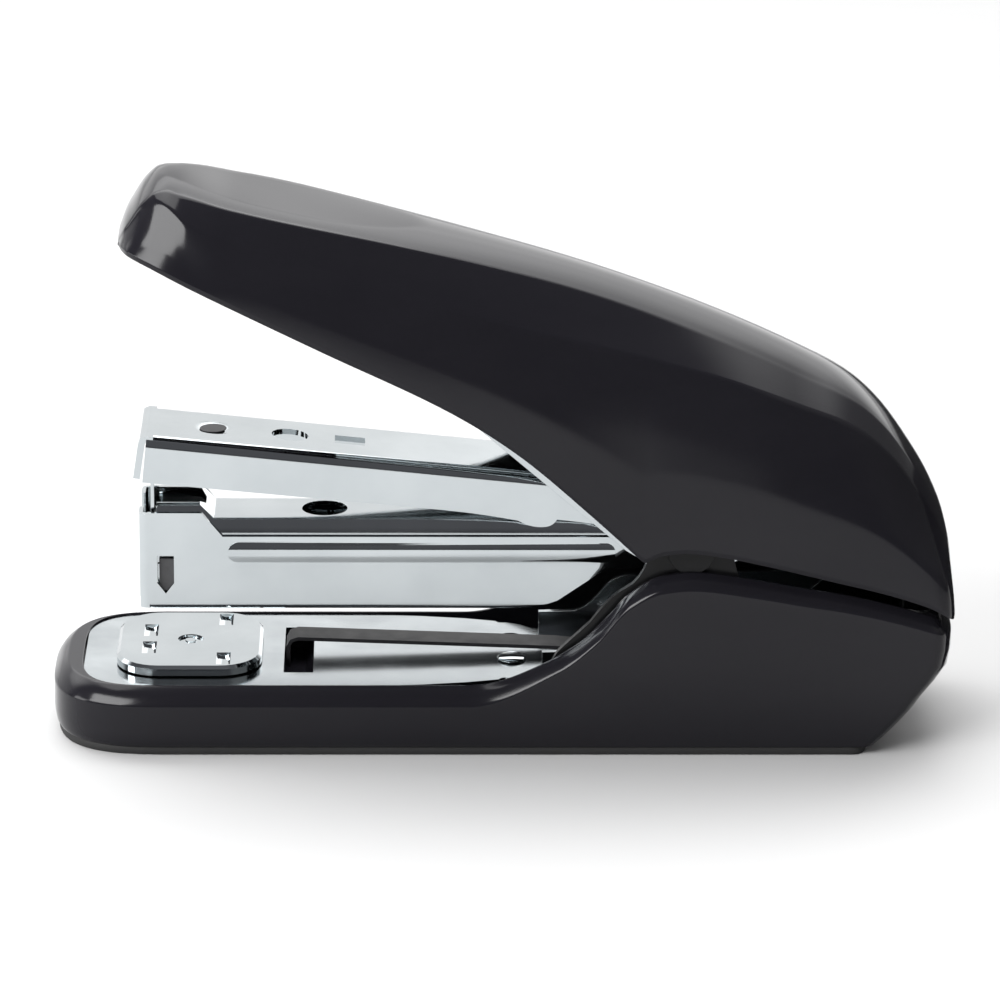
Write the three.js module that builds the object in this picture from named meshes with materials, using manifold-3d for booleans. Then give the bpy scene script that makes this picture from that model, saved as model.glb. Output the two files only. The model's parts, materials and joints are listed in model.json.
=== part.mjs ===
// A low-effort desktop stapler: black plastic base and handle over a chromed steel mechanism.
// X runs from the nose (-X) to the heel (+X), Y across, Z up. Millimetres, degrees in names
// that say so. The handle stands at its upper stop, which is how its springs leave it.

import * as THREE from 'three';
import { mergeVertices } from 'three/addons/utils/BufferGeometryUtils.js';
import Module from 'manifold-3d';

const wasm = await Module();
wasm.setup();

// ---------------------------------------------------------------- driving dimensions

const fit = 0.3; // clearance left between pieces that only touch
const noseX = -73; // front end of the base
const heelX = 73; // rear end of the base
const bodyHalfWidth = 19.75; // base and handle at their widest

const soleThickness = 1.5;
const soleInset = 0.7;
const housingWall = 2.75; // also the width of the bevel round the rim
const deckHeight = 9.8; // shelf under the steel plate
const deckThickness = 1.8;
const wellFrontX = -6;
const rimFrontHeight = 11.3;
const rimCrestHeight = 30.7;
const rimHeelHeight = 21.2;

const plateThickness = 1.2;
const plateFrontX = -67.9;
const plateHalfWidth = bodyHalfWidth - housingWall - fit;
const plateWindowX = -33; // slot that the lift spring hooks into
const plateWindowLength = 4.8;
const plateWindowWidth = 21;

const earThickness = 1;
const earHalfWidth = 10.05; // outside face of the plate's ears
const mainPivotX = 60; // magazine and driver arm turn here
const mainPivotZ = 30;
const mainPinRadius = 2;
const lugRadius = 4.5;

const handlePivotX = 30;
const handlePivotZ = 34;
const handlePinRadius = 2.5;
const shellWall = 2.2; // wall of the handle's cover
const studHeadRoom = 1.35; // between the bracket and the cover, for the studs' heads
const bracketHalfWidth = bodyHalfWidth - shellWall - studHeadRoom;
const bracketThickness = 1.2;
const bracketHeadRadius = 6.5;

const anvilX = -50.8;
const anvilLength = 23.6;
const anvilWidth = 25.8;
const anvilCornerRadius = 7;
const anvilRise = 1.9; // top of the anvil above the plate
const anvilThickness = 1;
const anvilPostRadius = 2.2;

const trackHalfWidth = 7.15;
const trackWall = 0.65;
const trackFrontX = -58.7;
const trackNoseBend = 1.3; // outside radius where the walls turn in at the nose
const trackBottom = 20.6;
const trackTop = 33.1;
const trackFrontTop = 37.1;
const tailBottom = 27.8; // underside of the track behind its raised belly
const beadHeight = 3.4;
const beadRelief = 0.4;

const coverHalfWidth = 6.2;
const coverWall = 0.6;
const coverTop = 35.6;
const coverShoulder = 0.9; // how far the sides lean in over their top stretch
const coverNoseRise = 2.3; // step up of the cover's nose
const coverBottom = 29.4;
const coverFrontX = trackFrontX + 2.8;
const coverHoleX = -28.8;
const coverHoleRadius = 3.7;

const railHalfWidth = 5.7;
const railTop = 28;
const railWall = 0.8;
const railFrontX = trackFrontX + 2.9;
const railRearX = 4;

const pusherLength = 12;
const rodRadius = 1.2;
const rodHeight = 31.5;
const springWire = 0.5;
const rodStopX = 8;

const armHalfWidth = 8.75;
const armWall = 0.9;
const armWeb = 1.1;
const armBend = 1.9; // outside radius of the fold between web and walls
const armDepth = 7.4; // height of the walls along the front half
const armFrontX = trackFrontX + 0.1;
const armFrontTop = 50.5;
const armSlopeDegrees = 5.65;
const armRearX = 65;

const bladeThickness = 0.6;
const bladeX = coverFrontX - fit - bladeThickness / 2;
const bladeHalfWidth = 5.7;
const bladeTip = 30.8;

const frameHalfWidth = bracketHalfWidth - bracketThickness - 0.4; // turns inside the bracket
const frameThickness = 1.2;
const rollerX = 10;
const rollerRadius = 3;
const rollerHalfLength = 7;
const rollerPinRadius = 1.6;

const handleNoseX = -61.4;
const handleHeelX = 73;

// ---------------------------------------------------------------- materials

function material(color, roughness, metalness) {
  return new THREE.MeshStandardMaterial({ color, roughness, metalness });
}

const blackPlastic = material(0x2b2b2e, 0.28, 0);
const blackRubber = material(0x1d1d1f, 0.85, 0);
const chrome = material(0xc9cfd2, 0.14, 1);
const zincSteel = material(0xaeb3b6, 0.32, 1);
const blackSteel = material(0x1a1a1c, 0.4, 0.5);
const springSteel = material(0x4a4a4c, 0.35, 1);
const greyPlastic = material(0x55565a, 0.5, 0);

// ---------------------------------------------------------------- solid modelling helpers

function toSolid(geometry) {
  const bare = geometry.clone();
  bare.deleteAttribute('normal');
  bare.deleteAttribute('uv');
  const merged = mergeVertices(bare, 1e-5);
  return new wasm.Manifold(new wasm.Mesh({
    numProp: 3,
    vertProperties: new Float32Array(merged.attributes.position.array),
    triVerts: new Uint32Array(merged.index.array),
  }));
}

function toGeometry(solid) {
  const mesh = solid.getMesh();
  const geometry = new THREE.BufferGeometry();
  geometry.setAttribute('position', new THREE.BufferAttribute(mesh.vertProperties, 3));
  geometry.setIndex(new THREE.BufferAttribute(mesh.triVerts, 1));
  geometry.computeVertexNormals();
  return geometry;
}

function piece(name, solid, look) {
  const mesh = new THREE.Mesh(toGeometry(solid), look);
  mesh.name = name;
  return mesh;
}

function join(first, ...rest) {
  return rest.reduce((sum, solid) => sum.add(solid), first);
}

function cut(first, ...rest) {
  return rest.reduce((left, solid) => left.subtract(solid), first);
}

function shapeFrom(points) {
  return new THREE.Shape(points.map(([x, y]) => new THREE.Vector2(x, y)));
}

// A side view outline (x, z) given thickness along Y, centred on centreY.
function acrossY(shape, width, centreY = 0, curveSegments = 5) {
  const geometry = new THREE.ExtrudeGeometry(shape, {
    depth: width, bevelEnabled: false, curveSegments,
  });
  geometry.rotateX(Math.PI / 2);
  geometry.translate(0, centreY + width / 2, 0);
  return toSolid(geometry);
}

// A plan outline (x, y) given height from bottom to top.
function upwards(shape, bottom, top, curveSegments = 4) {
  const depth = top - bottom;
  const geometry = new THREE.ExtrudeGeometry(shape, { depth, bevelEnabled: false, curveSegments });
  geometry.translate(0, 0, bottom);
  return toSolid(geometry);
}

// A front view outline (y, z) given length from frontX to rearX, then moved by a placement.
function alongX(shape, frontX, rearX, placement = new THREE.Matrix4(), curveSegments = 3) {
  const depth = rearX - frontX;
  const geometry = new THREE.ExtrudeGeometry(shape, { depth, bevelEnabled: false, curveSegments });
  geometry.applyMatrix4(new THREE.Matrix4().makeBasis(
    new THREE.Vector3(0, 1, 0), new THREE.Vector3(0, 0, 1), new THREE.Vector3(1, 0, 0)));
  geometry.translate(frontX, 0, 0);
  geometry.applyMatrix4(placement);
  return toSolid(geometry);
}

function box(x0, x1, y0, y1, z0, z1) {
  const geometry = new THREE.BoxGeometry(x1 - x0, y1 - y0, z1 - z0);
  geometry.translate((x0 + x1) / 2, (y0 + y1) / 2, (z0 + z1) / 2);
  return toSolid(geometry);
}

function rodAcross(radius, y0, y1, x, z, sides = 16) {
  const geometry = new THREE.CylinderGeometry(radius, radius, y1 - y0, sides);
  geometry.translate(x, (y0 + y1) / 2, z);
  return toSolid(geometry);
}

function rodUp(radius, z0, z1, x, y = 0, sides = 16) {
  const geometry = new THREE.CylinderGeometry(radius, radius, z1 - z0, sides);
  geometry.rotateX(Math.PI / 2);
  geometry.translate(x, y, (z0 + z1) / 2);
  return toSolid(geometry);
}

const beyond = 100; // past the outside of every piece, for cuts that go right through

function boreAcross(radius, x, z) {
  return rodAcross(radius, -beyond, beyond, x, z);
}

function boreUp(radius, x, y = 0, sides = 16) {
  return rodUp(radius, -beyond, beyond, x, y, sides);
}

function rodAlong(radius, x0, x1, y, z, sides = 12) {
  const geometry = new THREE.CylinderGeometry(radius, radius, x1 - x0, sides);
  geometry.rotateZ(Math.PI / 2);
  geometry.translate((x0 + x1) / 2, y, z);
  return toSolid(geometry);
}

// A profile of (radius, height) turned about an upright axis through the origin.
function turned(profile, sides) {
  const geometry = new THREE.LatheGeometry(profile.map(([x, y]) => new THREE.Vector2(x, y)), sides);
  geometry.rotateX(Math.PI / 2);
  return geometry;
}

function roundedRectangle(x0, x1, halfWidth, radius) {
  const shape = new THREE.Shape();
  shape.moveTo(x0 + radius, -halfWidth);
  shape.lineTo(x1 - radius, -halfWidth);
  shape.absarc(x1 - radius, -halfWidth + radius, radius, -Math.PI / 2, 0);
  shape.absarc(x1 - radius, halfWidth - radius, radius, 0, Math.PI / 2);
  shape.absarc(x0 + radius, halfWidth - radius, radius, Math.PI / 2, Math.PI);
  shape.absarc(x0 + radius, -halfWidth + radius, radius, Math.PI, 1.5 * Math.PI);
  return shape;
}

// Smooth height along X through a few stations, flat beyond the first and the last.
function heightThrough(stations) {
  const xs = stations.map(([x]) => x);
  const zs = stations.map(([, z]) => z);
  const slopes = xs.map((x, i) => {
    if (i === 0 || i === xs.length - 1) return 0;
    const before = (zs[i] - zs[i - 1]) / (xs[i] - xs[i - 1]);
    const after = (zs[i + 1] - zs[i]) / (xs[i + 1] - xs[i]);
    return before * after <= 0 ? 0 : (2 * before * after) / (before + after);
  });
  slopes[0] = (zs[1] - zs[0]) / (xs[1] - xs[0]);
  slopes[xs.length - 1] = (zs.at(-1) - zs.at(-2)) / (xs.at(-1) - xs.at(-2));
  return (x) => {
    if (x <= xs[0]) return zs[0];
    if (x >= xs.at(-1)) return zs.at(-1);
    const i = xs.findIndex((edge) => edge > x) - 1;
    const span = xs[i + 1] - xs[i];
    const t = (x - xs[i]) / span;
    const ease = t * t * (3 - 2 * t);
    const bend = t * (1 - t) * ((1 - t) * slopes[i] - t * slopes[i + 1]) * span;
    return zs[i] * (1 - ease) + zs[i + 1] * ease + bend;
  };
}

// Closed skin over rings of equally many points. The end rings are symmetric about Y = 0 and
// are closed by strips between mirrored points, so they need not be flat.
function skin(rings, pairOf) {
  const count = rings[0].length;
  const positions = rings.flat().flatMap((p) => [p.x, p.y, p.z]);
  const index = [];
  for (let r = 0; r < rings.length - 1; r += 1) {
    for (let i = 0; i < count; i += 1) {
      const a = r * count + i;
      const b = r * count + ((i + 1) % count);
      index.push(a, b, b + count, a, b + count, a + count);
    }
  }
  const closeEnd = (start, flip) => {
    for (let i = 0; i < count; i += 1) {
      const j = (i + 1) % count;
      const [pi, pj] = [pairOf(i), pairOf(j)];
      if (i >= pi && j >= pj) continue;
      const add = (a, b, c) => {
        if (a === b || b === c || a === c) return;
        index.push(start + a, start + (flip ? c : b), start + (flip ? b : c));
      };
      add(i, pj, j);
      add(i, pi, pj);
    }
  };
  closeEnd(0, false);
  closeEnd((rings.length - 1) * count, true);
  const geometry = new THREE.BufferGeometry();
  geometry.setAttribute('position', new THREE.Float32BufferAttribute(positions, 3));
  geometry.setIndex(index);
  return toSolid(geometry);
}

// A wire of round section along a list of points.
function wire(points, radius, steps, sides) {
  const section = new THREE.Shape();
  section.absarc(0, 0, radius, 0, 2 * Math.PI);
  const path = new THREE.CatmullRomCurve3(points);
  const geometry = new THREE.ExtrudeGeometry(section, {
    steps, extrudePath: path, curveSegments: Math.ceil(sides / 2), bevelEnabled: false,
  });
  return toSolid(geometry);
}

// A side view outline of a bent strip: the centre line is thickened to both sides.
function stripShape(points, thickness) {
  const line = points.map(([x, z]) => new THREE.Vector2(x, z));
  const side = (sign) => line.map((p, i) => {
    const before = line[Math.max(i - 1, 0)];
    const after = line[Math.min(i + 1, line.length - 1)];
    const along = after.clone().sub(before).normalize();
    const offset = sign * thickness / 2;
    return new THREE.Vector2(p.x - along.y * offset, p.y + along.x * offset);
  });
  return new THREE.Shape([...side(1), ...side(-1).reverse()]);
}

// Front view of a folded channel, open upwards or downwards, with round bends.
function channelShape(halfWidth, wall, closedZ, openZ, bend) {
  const up = Math.sign(openZ - closedZ);
  const half = (side, floor, radius) => {
    const path = new THREE.Path();
    path.moveTo(side, openZ);
    path.lineTo(side, floor + up * radius);
    path.quadraticCurveTo(side, floor, side - radius, floor);
    return path.getPoints(3);
  };
  const outer = half(halfWidth, closedZ, bend);
  const inner = half(halfWidth - wall, closedZ + up * wall, Math.max(bend - wall, 0.2));
  const mirrored = (points) => points.map((p) => new THREE.Vector2(-p.x, p.y));
  return new THREE.Shape([
    ...outer, ...mirrored(outer).reverse(), ...mirrored(inner), ...inner.reverse(),
  ]);
}

// ---------------------------------------------------------------- base

const humpFootX = -5;
const humpCrestX = 30;
const noseReach = 20.2; // length of the rounded nose in plan
const heelReach = 4.5;
const roundness = 3; // exponent of the superellipse that rounds nose and heel

// The rim runs level, climbs the hump in an S and falls away to the heel, steeper and steeper.
const rimClimb = [[-0.2, 0], [0, 0], [0.4, 0.26], [0.57, 0.5], [0.72, 0.82], [0.87, 0.97], [1, 1]];
const rimFall = [
  [0.26, 0.15], [0.42, 0.285], [0.56, 0.39], [0.71, 0.54], [0.86, 0.73], [0.95, 0.87], [1, 1],
];
const rimHeight = heightThrough([
  ...rimClimb.map(([at, share]) => [
    humpFootX + at * (humpCrestX - humpFootX),
    rimFrontHeight + share * (rimCrestHeight - rimFrontHeight),
  ]),
  ...rimFall.map(([at, share]) => [
    humpCrestX + at * (heelX - humpCrestX),
    rimCrestHeight - share * (rimCrestHeight - rimHeelHeight),
  ]),
]);

const bevelDrop = heightThrough([[humpFootX, 2.7], [15, 1.6], [humpCrestX, 2.1], [heelX, 1.7]]);

// The heel is undercut: it reaches further back the higher it is.
const heelAt = heightThrough([
  [0, heelX - 12.2], [1.5, heelX - 10.7], [3.6, heelX - 8.4], [7.5, heelX - 4.9], [9.7, heelX - 3.5],
  [13.5, heelX - 0.6], [17, heelX],
]);

// Where the straight sides are sampled, as shares of their length: closely on the climb.
const sideShares = [0, 0.2];
for (let share = 0.42; share < 0.8; share += 0.032) sideShares.push(share);
sideShares.push(0.85, 0.93, 1);

function baseRing(inset, heightAt, heelEnd) {
  const noseSteps = 7;
  const heelSteps = 6;
  const halfWidth = bodyHalfWidth - inset;
  const noseEndX = noseX + noseReach;
  const heelStartX = heelEnd - heelReach;
  const power = 2 / roundness;
  const near = [];
  for (let i = 0; i < noseSteps; i += 1) {
    const angle = (i / noseSteps) * Math.PI / 2;
    const forward = (noseReach - inset) * Math.cos(angle) ** power;
    near.push([noseEndX - forward, halfWidth * Math.sin(angle) ** power]);
  }
  for (const share of sideShares) near.push([noseEndX + share * (heelStartX - noseEndX), halfWidth]);
  for (let i = 1; i <= heelSteps; i += 1) {
    const angle = (i / heelSteps) * Math.PI / 2;
    const across = i === heelSteps ? 0 : Math.cos(angle) ** power;
    near.push([heelStartX + (heelReach - inset) * Math.sin(angle) ** power, halfWidth * across]);
  }
  const far = near.slice(1, -1).reverse();
  return [
    ...near.map(([x, y]) => new THREE.Vector3(x, -y, heightAt(x))),
    ...far.map(([x, y]) => new THREE.Vector3(x, y, heightAt(x))),
  ];
}

function baseSkin(rings) {
  return skin(rings, (i) => (rings[0].length - i) % rings[0].length);
}

function housingBody() {
  const bevelLow = (x) => rimHeight(x) - bevelDrop(x);
  const wallHeight = (share) => (x) => soleThickness + share * (bevelLow(x) - soleThickness);
  const wallRing = (share, inset) => baseRing(
    inset, wallHeight(share), heelAt(wallHeight(share)(heelX)));
  return baseSkin([
    wallRing(0, 0.5),
    wallRing(0.15, 0.12),
    wallRing(0.4, 0),
    wallRing(0.7, 0),
    wallRing(1, 0),
    baseRing(housingWall * 0.35, (x) => bevelLow(x) + 0.6 * bevelDrop(x), heelX),
    baseRing(housingWall, rimHeight, heelX),
  ]);
}

const wellFloorHeight = deckHeight - bracketThickness - fit;
const bayCeiling = wellFloorHeight - deckThickness;
const upperWellFloor = 14;
const deepWellRearX = mainPivotX - 0.2;
const openingHalfWidth = plateHalfWidth + fit;
const frameScrewXs = { front: 27, rear: 41 };
const frameScrewRadius = 1.5;
const anvilClipRoom = anvilPostRadius + 3.8; // round hole under the anvil, for its clip and spring

// Hollows under the deck, between its cross ribs: front and rear end of each.
const bays = [[-62, -40.5], [-38.5, -20], [-18, 4], [6, 30], [32, 54]];

function plateWindow(bottom, top) {
  const halfLength = plateWindowLength / 2;
  const halfWidth = plateWindowWidth / 2;
  return box(plateWindowX - halfLength, plateWindowX + halfLength, -halfWidth, halfWidth, bottom, top);
}

function baseHousing() {
  const skyZ = 60;
  const opening = roundedRectangle(plateFrontX - fit, heelX - housingWall, openingHalfWidth, 9.8);
  const deepWell = roundedRectangle(wellFrontX, deepWellRearX, openingHalfWidth, 3);
  const heelWell = roundedRectangle(wellFrontX, heelX - housingWall, openingHalfWidth, 8);
  const heelBlock = box(deepWellRearX - 9, heelX, -bodyHalfWidth, bodyHalfWidth, 0, skyZ);
  const cuts = [
    upwards(opening, deckHeight, upperWellFloor).subtract(heelBlock),
    upwards(opening, upperWellFloor, skyZ),
    upwards(deepWell, wellFloorHeight, skyZ),
    upwards(heelWell, upperWellFloor, skyZ),
    boreUp(anvilClipRoom, anvilX),
    plateWindow(bayCeiling - 1, deckHeight + 1),
  ];
  for (const [x0, x1] of bays) {
    const reach = x0 < noseX + noseReach ? 12.5 : 16.5;
    cuts.push(upwards(roundedRectangle(x0, x1, reach, 2), soleThickness - 1, bayCeiling, 4));
  }
  for (const x of Object.values(frameScrewXs)) {
    cuts.push(boreUp(frameScrewRadius + fit, x));
  }
  return piece('base_housing', cut(housingBody(), ...cuts), blackPlastic);
}

function baseSole() {
  const ring = (z) => baseRing(soleInset, () => z, heelAt(0));
  return piece('base_sole', baseSkin([ring(0), ring(soleThickness)]), blackRubber);
}

const plateTop = deckHeight + plateThickness;
const earInner = earHalfWidth - earThickness;
const rivetX = 1.7;
const rivetY = 4.4;
const rivetRadius = 1.2;
const earFrontX = 6.5;
const rivetHeadRadius = 2.4;
const rivetHeadHeight = 0.35;
const stripWidth = 5;
const stripThickness = 0.6;
const stripRivetX = 19;
const stripRivetRadius = 1;
const notchRadius = 0.9; // half-round locating notches in the plate's edge
const notchX = 0.4;
const notchY = 13.7;
const floorWindowFrontX = mainPivotX - 15;
const floorWindowRearX = mainPivotX - 4;
const floorWindowHalfWidth = 8;
const bracketFrontX = 7.6;
const bracketRearX = mainPivotX - 8;

// Plan of the stamped plate: round nose, a waist that narrows in a curve, and a straight tail.
function platePlan() {
  const corner = 9.5;
  const tailRearX = mainPivotX - 2;
  const near = new THREE.Path();
  near.moveTo(plateFrontX, 0);
  near.lineTo(plateFrontX, -plateHalfWidth + corner);
  near.absarc(plateFrontX + corner, -plateHalfWidth + corner, corner, Math.PI, 1.5 * Math.PI);
  near.lineTo(earFrontX - 28, -plateHalfWidth);
  near.quadraticCurveTo(earFrontX - 4, -plateHalfWidth + 1.6, earFrontX - 1, -earHalfWidth);
  near.lineTo(tailRearX, -earHalfWidth);
  near.lineTo(tailRearX, 0);
  const half = near.getPoints(5);
  const mirrored = half.slice(1, -1).reverse().map((p) => new THREE.Vector2(p.x, -p.y));
  return new THREE.Shape([...half, ...mirrored]);
}

// Side view of an ear: a low step at the front, a ramp, and a round head about the main pivot.
function earSide() {
  const shape = new THREE.Shape();
  const rearX = mainPivotX - 0.6;
  shape.moveTo(earFrontX, deckHeight);
  shape.lineTo(earFrontX, plateTop + 3.3);
  shape.lineTo(12.4, plateTop + 3.5);
  shape.quadraticCurveTo(14.6, plateTop + 3.8, 17.6, plateTop + 8);
  shape.quadraticCurveTo(19.4, plateTop + 9.8, 22, plateTop + 9.8);
  shape.lineTo(mainPivotX - 14, plateTop + 10.5);
  shape.lineTo(mainPivotX - lugRadius - 0.6, mainPivotZ);
  shape.absarc(mainPivotX, mainPivotZ, lugRadius + 0.6, Math.PI, -0.25 * Math.PI, true);
  shape.lineTo(rearX + 2.5, upperWellFloor + 1);
  shape.lineTo(rearX, upperWellFloor + 0.4);
  shape.lineTo(rearX, deckHeight);
  return shape;
}

function basePlate() {
  const plan = upwards(platePlan(), deckHeight, plateTop);
  const ears = acrossY(earSide(), 2 * earHalfWidth).subtract(
    box(-beyond, beyond, -earInner, earInner, deckHeight - 1, beyond));
  const holes = [
    plateWindow(deckHeight - 1, plateTop + 1),
    boreUp(anvilPostRadius + fit, anvilX),
    boreAcross(mainPinRadius + fit, mainPivotX, mainPivotZ),
    boreUp(stripRivetRadius + fit, stripRivetX),
  ];
  for (const side of [-1, 1]) {
    holes.push(boreUp(rivetRadius + fit, rivetX, side * rivetY));
    holes.push(boreUp(notchRadius, notchX, side * notchY));
  }
  for (const x of Object.values(frameScrewXs)) {
    holes.push(boreUp(frameScrewRadius + fit, x));
  }
  return piece('base_plate', cut(join(plan, ears), ...holes), chrome);
}

// Outer steel bracket: a floor under the plate's tail and two walls up to the handle pivot.
function pivotBracket() {
  const wall = new THREE.Shape();
  const floorTop = wellFloorHeight + bracketThickness;
  const shoulderZ = handlePivotZ - bracketHeadRadius;
  wall.moveTo(bracketFrontX + 2.4, wellFloorHeight);
  wall.lineTo(bracketFrontX, floorTop + 3.7);
  wall.quadraticCurveTo(bracketFrontX, floorTop + 6.1, bracketFrontX + 1.8, floorTop + 7.9);
  wall.lineTo(handlePivotX - 16, shoulderZ - 5.7);
  wall.quadraticCurveTo(handlePivotX - 13, shoulderZ - 1.3, handlePivotX - 10.4, shoulderZ + 0.1);
  wall.quadraticCurveTo(handlePivotX - 7.6, shoulderZ + 1.5,
    handlePivotX - bracketHeadRadius, handlePivotZ);
  wall.absarc(handlePivotX, handlePivotZ, bracketHeadRadius, Math.PI, 0, true);
  wall.lineTo(handlePivotX + bracketHeadRadius + 1.5, shoulderZ + 0.5);
  wall.lineTo(bracketRearX, shoulderZ - 5.5);
  wall.lineTo(bracketRearX, wellFloorHeight);
  const insideHalf = bracketHalfWidth - bracketThickness;
  const walls = acrossY(wall, 2 * bracketHalfWidth).subtract(
    box(-beyond, beyond, -insideHalf, insideHalf, floorTop, beyond));
  const tongue = upwards(roundedRectangle(rivetX - 4, 14, 8, 2), wellFloorHeight, floorTop, 4);
  const holes = [
    boreAcross(handlePinRadius + fit, handlePivotX, handlePivotZ),
    boreUp(stripRivetRadius + fit, stripRivetX),
    box(floorWindowFrontX, floorWindowRearX,
      -floorWindowHalfWidth, floorWindowHalfWidth, 0, floorTop + 1),
  ];
  for (const side of [-1, 1]) {
    holes.push(boreUp(rivetRadius + fit, rivetX, side * rivetY));
  }
  for (const x of Object.values(frameScrewXs)) {
    holes.push(boreUp(frameScrewRadius + fit, x));
  }
  return piece('pivot_bracket', cut(join(walls, tongue), ...holes), blackSteel);
}

function baseFasteners() {
  const parts = [];
  for (const [place, x] of Object.entries(frameScrewXs)) {
    const head = rodUp(3, bayCeiling - fit - 1.4, bayCeiling - fit, x, 0, 20);
    const shank = rodUp(frameScrewRadius, bayCeiling - fit - 0.2, plateTop + 0.8, x);
    parts.push(piece(`frame_screw_${place}`, join(head, shank), zincSteel));
  }
  for (const [place, side] of [['near', -1], ['far', 1]]) {
    const y = side * rivetY;
    const dome = turned([
      [0, 0], [rivetHeadRadius, 0], [rivetHeadRadius - 0.4, rivetHeadHeight * 0.8],
      [0, rivetHeadHeight],
    ], 20);
    dome.translate(rivetX, y, plateTop + fit);
    const shank = rodUp(rivetRadius, wellFloorHeight + fit, plateTop + fit + 0.1, rivetX, y);
    parts.push(piece(`plate_rivet_${place}`, join(toSolid(dome), shank), chrome));
  }
  return parts;
}

// Spring strip: hooked into the plate's window, rising free, riveted to the plate's tail.
function liftSpring() {
  const seat = plateTop + fit + stripThickness / 2;
  const hookX = plateWindowX - plateWindowLength / 2 + fit + stripThickness / 2;
  const centre = [
    [hookX, deckHeight - 0.8], [hookX, plateTop + 1.4], [hookX + 0.5, plateTop + 2.4],
    [hookX + 1.6, plateTop + 2.8], [9, plateTop + 1.3], [13.5, seat + 0.25], [16, seat], [24, seat],
  ];
  const strip = acrossY(stripShape(centre, stripThickness), stripWidth).subtract(
    boreUp(stripRivetRadius + fit, stripRivetX));
  const headBottom = seat + stripThickness / 2 + 0.05;
  const head = rodUp(stripRivetRadius + 0.9, headBottom, headBottom + 0.6, stripRivetX);
  const shank = rodUp(stripRivetRadius, wellFloorHeight + fit, seat + stripThickness, stripRivetX);
  return [
    piece('lift_spring', strip, springSteel),
    piece('lift_spring_rivet', join(head, shank), zincSteel),
  ];
}

function pivotPins() {
  const pins = [];
  const headGap = 0.1;
  const outer = earHalfWidth + headGap;
  const main = join(
    rodAcross(mainPinRadius, -outer - 1, outer + 1, mainPivotX, mainPivotZ),
    rodAcross(mainPinRadius + 1.2, -outer - 1, -outer, mainPivotX, mainPivotZ),
    rodAcross(mainPinRadius + 1.2, outer, outer + 1, mainPivotX, mainPivotZ),
  );
  pins.push(piece('main_pivot_pin', main, zincSteel));
  const innerEnd = frameHalfWidth - frameThickness - fit;
  for (const [place, side] of [['near', -1], ['far', 1]]) {
    const along = (radius, from, to) => {
      const [y0, y1] = [side * from, side * to].sort((a, b) => a - b);
      return rodAcross(radius, y0, y1, handlePivotX, handlePivotZ);
    };
    const stud = join(
      along(handlePinRadius, innerEnd - 0.8, bracketHalfWidth + 0.7),
      along(handlePinRadius + 1.3, innerEnd - 0.9, innerEnd),
      along(handlePinRadius + 1.3, bracketHalfWidth + headGap, bracketHalfWidth + 0.75),
    );
    pins.push(piece(`handle_pivot_stud_${place}`, stud, blackSteel));
  }
  return pins;
}

// Torsion spring: coiled on the main pin, one leg under the driver arm, one on the plate's tail.
function returnSpring() {
  const radius = 3.6;
  const wireRadius = 0.5;
  const coilHalf = 4;
  const turns = 5;
  const perTurn = 8;
  const start = Math.PI / 2;
  const legFrontX = mainPivotX - 15;
  const legBendX = mainPivotX - 8;
  const legTop = armUnderside(legFrontX) - fit - wireRadius;
  const points = [new THREE.Vector3(legFrontX, -coilHalf, legTop)];
  points.push(new THREE.Vector3(legBendX, -coilHalf, legTop - 1.8));
  for (let i = 0; i <= turns * perTurn + perTurn / 2; i += 1) {
    const share = i / (turns * perTurn + perTurn / 2);
    const angle = start - 2 * Math.PI * i / perTurn;
    points.push(new THREE.Vector3(
      mainPivotX + radius * Math.cos(angle),
      -coilHalf + 2 * coilHalf * share,
      mainPivotZ + radius * Math.sin(angle)));
  }
  points.push(new THREE.Vector3(legBendX + 2.5, coilHalf, plateTop + 8));
  points.push(new THREE.Vector3(legBendX, coilHalf, plateTop + fit + wireRadius + 0.1));
  return piece('return_spring', wire(points, wireRadius, points.length + 8, 4), springSteel);
}

// ---------------------------------------------------------------- anvil

const anvilBottom = plateTop + fit;
const anvilTop = plateTop + anvilRise;
const anvilEdge = 0.5; // bevel round the anvil's top
const clipThickness = 0.6;
const clipHeight = bayCeiling + 0.7; // underside of the groove that holds the clip
const grooveDepth = 0.6;
const grooveRadius = 1.4;
const grooveLength = 5.4;
const closingRow = { x: anvilX - 6.6, y: 4 }; // grooves that turn the staple's legs inwards
const pinningRow = { x: anvilX + 5.6, y: 9.1 }; // grooves that turn them outwards

function anvilPlan(inset) {
  return roundedRectangle(anvilX - anvilLength / 2 + inset, anvilX + anvilLength / 2 - inset,
    anvilWidth / 2 - inset, anvilCornerRadius - inset);
}

function anvilTopEdge() {
  const level = 0.01;
  const geometry = new THREE.ExtrudeGeometry(anvilPlan(anvilEdge), {
    depth: level, bevelThickness: anvilEdge, bevelSize: anvilEdge, bevelSegments: 1, curveSegments: 4,
  });
  geometry.translate(0, 0, anvilTop - anvilEdge - level);
  return toSolid(geometry);
}

// A short round-bottomed groove across X, pressed into the anvil's top.
function groove({ x, y }, side) {
  return rodAcross(grooveRadius, side * y - grooveLength / 2, side * y + grooveLength / 2,
    x, anvilTop + grooveRadius - grooveDepth, 20);
}

function anvilPost() {
  const post = rodUp(anvilPostRadius, bayCeiling, anvilTop - anvilThickness + 0.1, anvilX);
  const neckTop = clipHeight + clipThickness + 0.2;
  const neckCut = rodUp(anvilPostRadius + 1, clipHeight, neckTop, anvilX).subtract(
    boreUp(anvilPostRadius - 0.6, anvilX));
  return cut(post, neckCut);
}

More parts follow.
